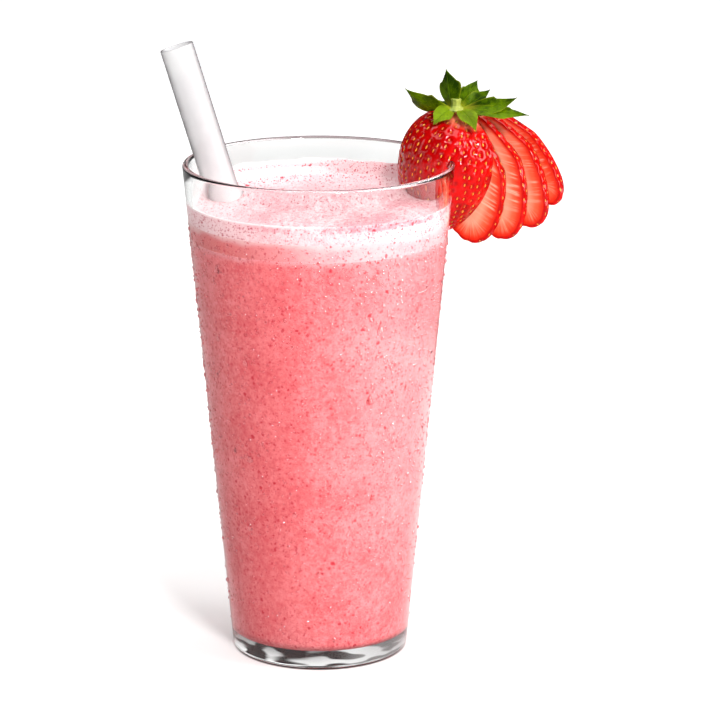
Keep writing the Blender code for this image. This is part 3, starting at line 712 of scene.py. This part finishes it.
# The cut flesh is red at the skin and pale inside, with fibres drawn from spine to skin. The
# mark inset is millimetres in from the skin; streak is millimetres round the outline.
cut, tree, shader = new_material("cut strawberry")
inset = mark_of(tree, "inset")
streak = mark_of(tree, "streak")
along_fibres = add_node(tree, "ShaderNodeCombineXYZ", {0: streak, 1: product(tree, inset, 0.07)})
fibres = noise(tree, along_fibres.outputs[0], 0.75, 3.0, 0.6)
near_tip = rise(tree, math_node(tree, "FRACT", product(tree, streak, 0.025)), 0.45, 0.75, 0.35, 1.0)
pale_lines = product(tree, rise(tree, fibres, 0.48, 0.64), rise(tree, inset, 0.8, 3.0, 0.0, 0.7), near_tip)
dark_lines = product(tree, rise(tree, fibres, 0.50, 0.36), rise(tree, inset, 5.5, 1.5, 0.0, 0.45), near_tip)
# Paler towards the neck: partly the flesh's own colour there, partly painted light against the shade of the
# leaves above.
neck = product(tree, mark_of(tree, "neck"), rise(tree, inset, 0.6, 3.0, 0.0, 0.8))
colour = paint(tree, srgb(196, 10, 6), (rise(tree, inset, 0.1, 1.1), srgb(236, 52, 28)),
               (rise(tree, inset, 0.9, 3.6), srgb(250, 104, 68)),
               (rise(tree, inset, 3.2, 7.0, 0.0, 0.9), srgb(255, 178, 144)),
               (pale_lines, srgb(255, 208, 180)), (dark_lines, srgb(222, 30, 16)),
               (neck, srgb(255, 196, 160)))
wet_grain = math_node(tree, "MULTIPLY_ADD", noise(tree, place_of(tree), 600.0), 0.4, fibres)
fill(tree, shader, {"Base Color": colour, "Roughness": 0.36, "Specular IOR Level": 0.14,
                    "Normal": relief(tree, wet_grain, 0.3, 0.0003)})


def rim_slot():
    """The top of the glass wall grown by 0.1 mm, as a closed ring that cuts the berry."""
    grow = 0.1 * MM
    low = GLASS_HEIGHT - 45.0 * MM
    over = arc(lip_centre, lip + grow, -slope, 180.0 - slope, 8)
    ring = turned_grid(np.vstack([[(outer_radius(low) + grow, low)], over,
                                  [(inner_radius(low) - grow, low)]]))
    quads = grid_quads(*ring.shape[:2], closed_rows=True)
    return new_object("rim_slot", grid_mesh("rim_slot", ring, quads, [skin, cut]))


def cut_slot(piece, cutter):
    """Take the cutter out of a piece for good."""
    change = piece.modifiers.new("slot", "BOOLEAN")
    change.operation = "DIFFERENCE"
    change.solver = "MANIFOLD"
    change.object = cutter
    graph = bpy.context.evaluated_depsgraph_get()
    mesh = bpy.data.meshes.new_from_object(piece.evaluated_get(graph))
    piece.modifiers.clear()
    piece.data = mesh


def length_walked(x, y):
    """Length of a curve up to each of its points."""
    return np.concatenate([[0.0], np.cumsum(np.hypot(np.diff(x), np.diff(y)))])


def half_berry():
    """The whole half: radius R sin(pi s^0.756)^0.53 at share s of the length, half a turn.

    Skin columns go round from one cut edge to the other, then straight columns close the cut.
    """
    rows, columns, across = 190, 240, 26
    down, right = fan_axes(BERRY_LEAN)
    share = 0.5 - 0.5 * np.cos(np.linspace(0.0, np.pi, rows))
    radius = BERRY_RADIUS * np.maximum(np.sin(np.pi * share ** 0.756), 0.0) ** 0.53
    radius[[0, -1]] = 0.0
    spine = BERRY_TOP + down * (BERRY_LENGTH * share)[:, None]
    angle = np.linspace(0.0, np.pi, columns)
    spokes = np.cos(angle)[:, None] * right - np.sin(angle)[:, None] * INWARD
    grid = spine[:, None] + radius[:, None, None] * spokes[None]
    normals = grid_normals(grid, np.broadcast_to(spokes[None], grid.shape))
    normals[0] = -down
    normals[-1] = down

    lengths = length_walked(share * BERRY_LENGTH, radius)
    index = []
    for number, walked in enumerate(np.arange(3.0 * MM, lengths[-1] - 1.2 * MM, 0.88 * SEED_PITCH)):
        row = int(np.searchsorted(lengths, walked))
        count = max(1, int(round(np.pi * radius[row] / SEED_PITCH)))
        turn = np.pi * (np.arange(count + 1) + 0.5 * (number % 2)) / count
        turn = turn[(turn > 0.02) & (turn < np.pi - 0.02)]
        turn = turn + draw.normal(0.0, 0.035, len(turn))
        column = np.clip(np.round(turn / np.pi * (columns - 1)), 1, columns - 2).astype(int)
        shift = draw.integers(-1, 2, len(column))
        index += list(zip(np.clip(row + shift, 1, rows - 2), column))
    frames, grid, pit = press_pits(grid, normals, down, index, PIT_DEPTH)

    step = np.linspace(0.0, 1.0, across)[1:-1][None, :, None]
    face = grid[:, -1:] * (1.0 - step) + grid[:, :1] * step
    whole = np.concatenate([grid, face], axis=1)
    offset = np.abs(2.0 * step[..., 0] - 1.0)
    face_inset = (1.0 - offset) * radius[:, None] / MM
    face_streak = lengths[:, None] / MM + LINE_SLOPE * face_inset
    pad = np.zeros((rows, columns))
    neck = np.repeat(np.clip(1.0 - share[:, None] / 0.05, 0.0, 1.0), columns + across - 2, axis=1)
    marks = {"pit": np.concatenate([pit, 0.0 * face_inset], 1),
             "inset": np.concatenate([pad, face_inset], 1),
             "streak": np.concatenate([pad, face_streak], 1), "neck": neck}
    quads = grid_quads(rows, columns + across - 2)
    kinds = (np.arange(len(quads)) % (columns + across - 2) >= columns - 1).astype(int)
    piece = add_piece("berry_half", whole, "strawberry_flesh", [skin, cut],
                      quads, kinds, marks)
    return piece, frames, whole


SLICE_THICKNESS = 3.5 * MM
SLICE_LEANS = np.radians((5.5, 20.5, 35.0, 47.5))
SLICE_LENGTHS = (43.6 * MM, 43.9 * MM, 43.8 * MM, 41.4 * MM)
SLICE_HALF_WIDTHS = (13.4 * MM, 13.0 * MM, 11.6 * MM, 8.8 * MM)
END_CAP = 3.5 * MM


def even_outline(length, half_width, count):
    """Slice outline, evenly spaced: half-width min(1, 0.55 + s) sin(pi s)^0.45 at share s.

    It runs from the neck down the right side to the tip and up the left side.
    """
    share = 0.5 - 0.5 * np.cos(np.linspace(0.0, np.pi, 2000))
    wide = half_width * np.minimum(1.0, 0.55 + share) * np.maximum(np.sin(np.pi * share), 0.0) ** 0.45
    walked = length_walked(share * length, wide)
    even = np.linspace(0.0, walked[-1], count // 2 + 1)
    x = np.interp(even, walked, wide)
    y = np.interp(even, walked, share * length)
    x = np.concatenate([x, -x[-2:0:-1]])
    y = np.concatenate([y, y[-2:0:-1]])
    return x, y, np.concatenate([even, even[-2:0:-1]])


def berry_slice(number):
    """A slab between two cut faces: lines run from a middle spine out to the outline.

    Rows go from the front spine to the outline, round the skin band, and back to the spine
    behind. The last slice's back is a skin dome of height 1 - r^3.6 instead of a cut face.
    """
    down, right = fan_axes(SLICE_LEANS[number])
    length = SLICE_LENGTHS[number]
    count = 420
    x, y, walked = even_outline(length, SLICE_HALF_WIDTHS[number], count)
    spine_y = np.clip(y - LINE_SLOPE * np.abs(x) * 1.3, 0.10 * length, 0.80 * length)
    middle = 0.5 * length
    front = number * SLICE_THICKNESS
    last = number == len(SLICE_LENGTHS) - 1

    def place(across, along, depth):
        """Points of the slice, from lengths across it, along it and into it."""
        return (BERRY_TOP + INWARD * (front + depth[..., None]) + down * along[..., None]
                + right * across[..., None])

    band_depth = np.linspace(0.0, SLICE_THICKNESS, 22)[:, None]
    part = band_depth / SLICE_THICKNESS
    size = 1.0 + 0.10 * part - 0.14 * part ** 2
    size = size - 0.012 * np.maximum(0.0, 1.0 - part / 0.08) ** 2
    band_x = x * size
    band_y = middle + size * (y - middle)
    skin_rows = [place(band_x, band_y, band_depth + 0.0 * band_x)]
    if last:
        reach = np.sin(np.linspace(np.pi / 2, 0.0, 46))[1:, None]
        dome_x = band_x[-1] * reach
        dome_y = spine_y + (band_y[-1] - spine_y) * reach
        dome_depth = SLICE_THICKNESS + END_CAP * (1.0 - reach ** 3.6) + 0.0 * dome_x
        skin_rows.append(place(dome_x, dome_y, dome_depth))
    grid = np.concatenate(skin_rows)
    centre = place(np.zeros(count), spine_y, np.full(count, 0.4 * SLICE_THICKNESS))
    outside = grid - centre[None]
    normals = grid_normals(np.concatenate([grid[:, -1:], grid, grid[:, :1]], 1),
                           np.concatenate([outside[:, -1:], outside, outside[:, :1]], 1))[:, 1:-1]
    pitch = 2.35 * MM
    around = int(2.0 * walked.max() / pitch)
    column = (np.arange(around) * count / around).astype(int)
    row = np.where(np.arange(around) % 2 == 0, 5, 16) + draw.integers(-2, 3, around)
    index = list(zip(row, column))
    if last:
        for level, inward in enumerate((2.9, 5.9)):
            ring = int(np.argmin(np.abs((1.0 - reach[:, 0]) * SLICE_HALF_WIDTHS[number] - inward * MM)))
            seeds = max(3, int((2.0 * walked.max() - 6.0 * inward * MM) / SEED_PITCH))
            index += [(22 + ring, int((k + 0.5 * level) * count / seeds) % count) for k in range(seeds)]
    frames, grid, pit = press_pits(grid, normals, down, index, 0.8 * PIT_DEPTH)

    share = np.linspace(0.0, 1.0, 16)[:-1][:, None, None]
    front_spine = place(np.zeros(count), spine_y, np.zeros(count))
    front_face = front_spine * (1.0 - share) + grid[:1] * share
    reachable = np.hypot(x, y - spine_y) / MM
    face_inset = (1.0 - share[..., 0]) * reachable
    blocks = [front_face, grid]
    insets = [face_inset, np.zeros(grid.shape[:2])]
    pits = [0.0 * face_inset, pit]
    kinds = [1] * len(front_face) + [0] * (len(grid) - 1)
    if not last:
        back_spine = place(np.zeros(count), spine_y, np.full(count, SLICE_THICKNESS))
        back_share = share[::-1]
        blocks.append(back_spine * (1.0 - back_share) + grid[-1:] * back_share)
        insets.append(face_inset[::-1])
        pits.append(0.0 * face_inset)
        kinds += [1] * len(share)
    whole = np.concatenate(blocks)
    marked = np.concatenate(insets)
    # Cut faces grow pale over their upper half, partly the real pale neck and partly painted light.
    neck_length = length * np.where(np.max(marked, axis=1) > 0.0, 0.5, 0.09)[:, None]
    marks = {"pit": np.concatenate(pits), "inset": marked,
             "streak": walked / MM + 40.0 * number,
             "neck": np.clip(1.0 - y / neck_length, 0.0, 1.0)}
    piece = add_piece("berry_slice_" + str(number + 1), whole, "strawberry_flesh",
                      [skin, cut], kinds=np.repeat(kinds, count), marks=marks)
    return piece, frames, whole


slot = rim_slot()
flesh_pieces = [half_berry()] + [berry_slice(number) for number in range(len(SLICE_LENGTHS))]
for flesh_piece, _, _ in flesh_pieces[:2]:
    cut_slot(flesh_piece, slot)
bpy.data.objects.remove(slot, do_unlink=True)


# --- Seeds -------------------------------------------------------------------------------------
# Dry yellow seeds, one in each pit of the skin, standing a little out of its floor. Each is a
# small drop, pointed towards the leaves.

SEED_HALF_WIDTH = 0.28 * MM
SEED_HALF_DEPTH = 0.26 * MM
SEED_HALF_LENGTH = 0.70 * MM


def scattered(local, centre, sideways, outward, upward):
    """A small grid copied into each frame: centre + x sideways + y outward + z upward."""
    points = (centre[:, None, None] + local[..., :1] * sideways[:, None, None]
              + local[..., 1:2] * outward[:, None, None] + local[..., 2:] * upward[:, None, None])
    count, rows, columns = points.shape[:3]
    quads = grid_quads(rows, columns)[None] + rows * columns * np.arange(count)[:, None, None]
    return points, quads.reshape(-1, 4)


def seed_cloud(frames):
    """One drop-shaped seed in each frame: half-width w(t) = sin(pi t)^0.7 (0.75 + 0.25 t)."""
    along = np.linspace(0.0, 1.0, 6)[:, None]
    width = np.maximum(np.sin(np.pi * along), 0.0) ** 0.7 * (0.75 + 0.25 * along)
    angle = full_turn(8)
    length = SEED_HALF_LENGTH * draw.uniform(0.75, 1.2, len(frames))[:, None, None]
    place, outward, lengthwise = frames[:, 0], frames[:, 1], frames[:, 2]
    local = np.stack(np.broadcast_arrays(SEED_HALF_WIDTH * width * np.cos(angle),
                                         SEED_HALF_DEPTH * width * np.sin(angle),
                                         length * (2.0 * along - 1.0)), -1)
    return scattered(local, place - outward * (0.85 * PIT_DEPTH), np.cross(lengthwise, outward),
                     outward, lengthwise)


golden, tree, shader = new_material("strawberry seed")
patches = rise(tree, noise(tree, place_of(tree), 260.0), 0.38, 0.62)
colour = paint(tree, srgb(250, 176, 54), (patches, srgb(226, 100, 24)))
fill(tree, shader, {"Base Color": colour, "Roughness": 0.35})
seed_points, seed_quads = seed_cloud(clear_of_wall(np.concatenate([f for _, f, _ in flesh_pieces])))
add_piece("berry_seeds", seed_points, "strawberry_flesh", [golden], seed_quads)


# --- Leaves ------------------------------------------------------------------------------------
# The green cap: ten pointed, toothed leaves round a small collar and a short cut stem, grown
# together. They are thin, folded along the midrib, and pale where they start.

CALYX_CENTRE = np.array((45.5 * MM, 13.5 * MM, 181.4 * MM))
COLLAR_RADIUS = 3.6 * MM
LEAF_THICKNESS = 0.4 * MM
# heading of the tip round the stem, reach, rise, width, droop of the middle, twist
LEAVES = (
    (188.7, 17.1, 7.4, 8.8, -4.8, 40.0),
    (158.8, 3.6, 13.2, 7.8, 0.0, 75.0),
    (28.9, 8.1, 9.0, 5.8, 0.0, 70.0),
    (10.4, 11.5, 6.2, 5.2, -1.0, 50.0),
    (-16.7, 20.8, 5.0, 6.6, -3.2, 45.0),
    (-24.5, 26.0, 0.0, 5.2, 0.0, 35.0),
    (227.1, 11.3, -3.6, 6.0, 2.2, -30.0),
    (301.3, 12.3, -5.4, 6.0, 2.8, 12.0),
    (117.6, 9.7, 0.8, 5.8, 1.2, 0.0),
    (70.9, 11.9, 0.6, 5.8, 1.4, 0.0),
)


def stand_off(points, around, clearance):
    """Push points away from the berry's middle until the nearest skin point is clear of them."""
    middle = BERRY_TOP - UP * (0.5 * BERRY_LENGTH)
    outward = points - middle
    outward /= np.linalg.norm(outward, axis=1, keepdims=True)
    reach = around - middle
    reach_length = np.linalg.norm(reach, axis=1)
    reach_way = reach / reach_length[:, None]
    for _ in range(3):
        facing = (points - middle) @ reach_way.T
        distance = np.linalg.norm(points - middle, axis=1)
        close = facing / distance[:, None] > 0.9985
        limit = np.max(np.where(close, reach_length[None], 0.0), axis=1)
        short = np.maximum(limit + clearance - distance, 0.0)
        points = points + outward * short[:, None]
    return points


def leaf_sheets(number, heading, reach, rise_up, width, droop, twist, skin_points):
    """Both faces of a leaf on a grid: along a bent midrib, and across a toothed lens outline.

    Half-width is 0.5 w (0.15 (1 - s)^3 + sin(pi s^0.85)^1.2), plus one forward tooth a side.
    """
    along, across = 44, 17
    share = np.linspace(0.0, 1.0, along)[:, None]
    out = np.linspace(-1.0, 1.0, across)[None]
    turn = math.radians(heading)
    towards = np.array((math.cos(turn), math.sin(turn), 0.0))
    start = CALYX_CENTRE + towards * (0.4 * COLLAR_RADIUS)
    tip = CALYX_CENTRE + towards * (reach * MM) + UP * (rise_up * MM)
    lifted = 0.5 * (start + tip) + UP * (droop * MM)
    rib = start * (1 - share) ** 2 + lifted * (2 * share * (1 - share)) + tip * share ** 2
    forward = (lifted - start) * (1 - share) + (tip - lifted) * share
    forward /= np.linalg.norm(forward, axis=1, keepdims=True)
    side = np.cross(forward, UP)
    flat = np.linalg.norm(side, axis=1, keepdims=True)
    side = np.where(flat > 0.2, side / np.maximum(flat, 1e-6), np.cross(towards, UP))
    angle = math.radians(twist)
    side = side * math.cos(angle) + np.cross(forward, side) * math.sin(angle)
    normal = np.cross(side, forward)
    spread = 0.5 * width * MM * (0.15 * (1 - share) ** 3 + np.sin(np.pi * share ** 0.85) ** 1.2)
    teeth = 0.0
    for at, tall, hand in ((0.68, 0.26, 1), (0.60, 0.24, -1)):
        at = at + 0.05 * math.sin(3.1 * number + 2.0 * hand)
        ramp = np.clip((share - at + 0.3) / 0.3, 0.0, 1.0) ** 1.5
        fall = np.clip((at + 0.045 - share) / 0.045, 0.0, 1.0)
        tall = tall * (0.35 if rise_up < 0.0 else 1.0)
        teeth = teeth + tall * np.minimum(ramp, fall) * (np.sign(out) == hand)
    spread = np.maximum(spread, 0.12 * MM) * (1.0 + teeth * np.abs(out) ** 3)
    fold = 0.22 * np.abs(out) * spread
    wave = 0.4 * MM * out * np.sin(7.0 * share + number + out) * np.sin(np.pi * share)
    swept = 0.05 * reach * MM * out ** 2 * np.sin(np.pi * share)
    middle = (rib[:, None] + side[:, None] * (out * spread)[..., None]
              + normal[:, None] * (fold + wave)[..., None] + forward[:, None] * swept[..., None])
    middle = stand_off(middle.reshape(-1, 3), skin_points, 0.7 * MM).reshape(middle.shape)
    thick = LEAF_THICKNESS * (0.5 - 0.32 * np.abs(out))
    offset = normal[:, None] * thick[..., None]
    sheet = np.concatenate([middle + offset, (middle - offset)[:, ::-1]], axis=1)
    ends = np.repeat(sheet[[0, -1]].mean(axis=1, keepdims=True), 2 * across, axis=1)
    sheet = np.concatenate([ends[:1], sheet, ends[1:]])
    both = np.concatenate([out, out[:, ::-1]], axis=1)
    share = np.concatenate([share[:1], share, share[-1:]])
    marks = {"along": share, "across": both, "hanging_leaf": float(rise_up < 0.0)}
    return sheet, marks


leaf, tree, shader = new_material("strawberry leaf")
place = place_of(tree)
z = axes(tree, place)[2]
along = mark_of(tree, "along")
out = math_node(tree, "ABSOLUTE", mark_of(tree, "across"))
mottle = noise(tree, place, 190.0, 5.0, 0.65)
vein_place = math_node(tree, "MULTIPLY_ADD", out, -0.30, along)
vein_wave = math_node(tree, "ABSOLUTE", math_node(tree, "SINE", product(tree, vein_place, 20.0)))
veins = largest(tree, rise(tree, vein_wave, 0.16, 0.02, 0.0, 0.32), rise(tree, out, 0.10, 0.02, 0.0, 0.5))
colour = paint(tree, srgb(94, 124, 0), (rise(tree, mottle, 0.36, 0.62), srgb(32, 54, 0)),
               # Leaves whose tips hang below the collar take a lighter green.
               (product(tree, mark_of(tree, "hanging_leaf"), 0.36), srgb(142, 166, 26)),
               # Painted shade: darker higher up, on the leaves that stand up.
               (rise(tree, z, 0.180, 0.190, 0.0, 0.4), srgb(22, 46, 0)),
               (rise(tree, along, 0.30, 0.02, 0.0, 0.8), srgb(160, 160, 40)),
               (veins, srgb(92, 126, 20)), (rise(tree, out, 0.86, 1.0, 0.0, 0.6), srgb(128, 140, 24)))
fill(tree, shader, {"Base Color": colour, "Roughness": 0.35, "Specular IOR Level": 0.04,
                    "Normal": relief(tree, math_node(tree, "SUBTRACT", mottle, veins), 0.7, 0.0007)})

skin_points = np.concatenate([w.reshape(-1, 3)[::7] for _, _, w in flesh_pieces])
for number, sizes in enumerate(LEAVES):
    sheet, marks = leaf_sheets(number, *sizes, skin_points)
    add_piece("leaf_" + str(number + 1), sheet, "strawberry_leaves", [leaf],
              marks=marks)


# --- Stem --------------------------------------------------------------------------------------
# The collar under the leaves and the cut stub of the stalk, one green piece with fine ridges
# running up it.

def stem_grid():
    """A turned profile with eight shallow ridges: radius (1 + 0.05 cos 8a)."""
    section = np.array([(0.0, -0.9), (2.6, -0.8), (3.5, -0.1), (3.0, 0.4), (2.0, 0.75), (1.5, 1.3),
                        (1.45, 2.0), (1.6, 2.8), (1.7, 3.3), (1.45, 3.6), (0.7, 3.65), (0.0, 3.5)]) * MM
    walked = np.linspace(0.0, len(section) - 1.0, 45)
    fine = np.stack([np.interp(walked, np.arange(len(section)), section[:, k]) for k in (0, 1)], 1)
    grid = turned_grid(fine, 64)
    grid[..., :2] *= 1.0 + 0.05 * np.cos(8.0 * full_turn(64))[None, :, None]
    return grid + CALYX_CENTRE


stalk, tree, shader = new_material("stalk green")
patches = rise(tree, noise(tree, place_of(tree), 300.0, 3.0), 0.35, 0.65)
colour = paint(tree, srgb(168, 176, 74), (patches, srgb(120, 142, 46)))
fill(tree, shader, {"Base Color": colour, "Roughness": 0.45})
add_piece("stem", stem_grid(), "strawberry_leaves", [stalk])


# --- Condensation ------------------------------------------------------------------------------
# Cold water beads on the outside of the tumbler below the foam: thousands of tiny domes, and a
# few heavy drops that have begun to run.

WATER_INDEX = 1.33
BEADS = 4400
BEAD_SINK = 0.08 * MM
BEAD_SIDES, BEAD_RINGS = 10, 3
DROP_SIDES, DROP_RINGS = 24, 9
# height, angle round from +X in degrees, half-width and run of each heavy drop
DROPS = np.array([
    (136.0, 219.0, 1.0, 1.2), (118.0, 300.0, 1.3, 1.5), (122.5, 323.0, 0.75, 2.6),
    (106.0, 233.0, 1.0, 1.0), (94.0, 296.0, 1.2, 1.2), (96.0, 318.0, 0.7, 1.6),
    (75.5, 298.0, 0.9, 1.8), (59.0, 300.0, 1.1, 1.3), (40.0, 285.0, 1.0, 2.0),
    (72.5, 232.0, 1.0, 0.6), (74.0, 221.0, 0.7, 2.2), (48.0, 228.0, 0.9, 0.9),
    (55.0, 257.0, 0.9, 0.4), (112.0, 215.0, 0.7, 0.8), (88.0, 38.0, 0.8, 1.4),
    (60.0, 75.0, 0.7, 1.8), (120.0, 110.0, 0.75, 1.2), (98.0, 150.0, 0.8, 1.6),
    (45.0, 130.0, 0.65, 1.0), (78.0, 180.0, 0.7, 1.5)])


def bead_cloud(height, angle, wide, tall, run, sides, rings):
    """Domes standing on the taper: radius cos b, lift sin b, stretched upwards for runs.

    A point is c + side x + up y + out z, where y is drawn out above the bead by run.
    """
    radius = outer_radius(height) - BEAD_SINK
    round_way = np.stack([np.cos(angle), np.sin(angle), 0.0 * angle], 1)
    outward = round_way * math.cos(taper) - UP * math.sin(taper)
    upward = round_way * math.sin(taper) + UP * math.cos(taper)
    turn = full_turn(sides)
    climb = np.linspace(0.0, 0.5 * np.pi, rings)
    flat = np.concatenate([[0.0], np.cos(climb)])[:, None]
    lift = np.concatenate([[0.0], np.sin(climb)])[:, None]
    x = flat * np.cos(turn)
    y = flat * np.sin(turn)
    run = run[:, None, None]
    narrow = 1.0 - np.minimum(0.28 * run, 0.55) * np.maximum(y, 0.0)
    local = np.stack([wide[:, None, None] * x * narrow, tall[:, None, None] * lift * narrow,
                      wide[:, None, None] * y * (1.0 + run * np.maximum(y, 0.0) ** 1.5)], -1)
    return scattered(local, round_way * radius[:, None] + UP * height[:, None],
                     np.cross(upward, outward), outward, upward)


bead_height = np.sqrt(draw.uniform((6.0 * MM) ** 2, (146.0 * MM) ** 2, BEADS))
bead_angle = draw.uniform(0.0, 2.0 * np.pi, BEADS)
bead_width = np.clip(draw.lognormal(math.log(0.38), 0.32, BEADS), 0.2, 0.85) * MM
bead_points, bead_quads = bead_cloud(bead_height, bead_angle, bead_width, 0.8 * bead_width,
                                     np.zeros(BEADS), BEAD_SIDES, BEAD_RINGS)
# The beads' water is tinted dark red: painted shade, so each bead shows as a darker dot over the drink.
bead_water = clear_shader("water beads", (0.88, 0.56, 0.58, 1.0), WATER_INDEX,
                          coat={"Coat Weight": 1.0, "Coat Roughness": 0.0, "Coat IOR": 1.5})
add_piece("water_beads", bead_points, "glass", [bead_water], bead_quads)

drop_height, drop_angle, drop_width, drop_run = DROPS.T
drop_points, drop_quads = bead_cloud(drop_height * MM, np.radians(drop_angle), drop_width * MM,
                                     0.8 * drop_width * MM, drop_run, DROP_SIDES, DROP_RINGS)
# Each drop's rim is painted dark red, painted shade round its outline.
drop_water = clear_shader("water drops", (0.98, 0.93, 0.93, 1.0), WATER_INDEX, (0.78, 0.40, 0.43, 1.0),
                          {"Coat Weight": 1.0, "Coat Roughness": 0.03, "Coat IOR": 1.5})
drop_climb = np.linspace(0.0, 0.5 * np.pi, DROP_RINGS)
painted_drop_rim_shade = np.concatenate([[0.0], np.cos(drop_climb) ** 3])
add_piece("water_drops", drop_points, "glass", [drop_water], drop_quads,
          marks={"edge": painted_drop_rim_shade[:, None]})
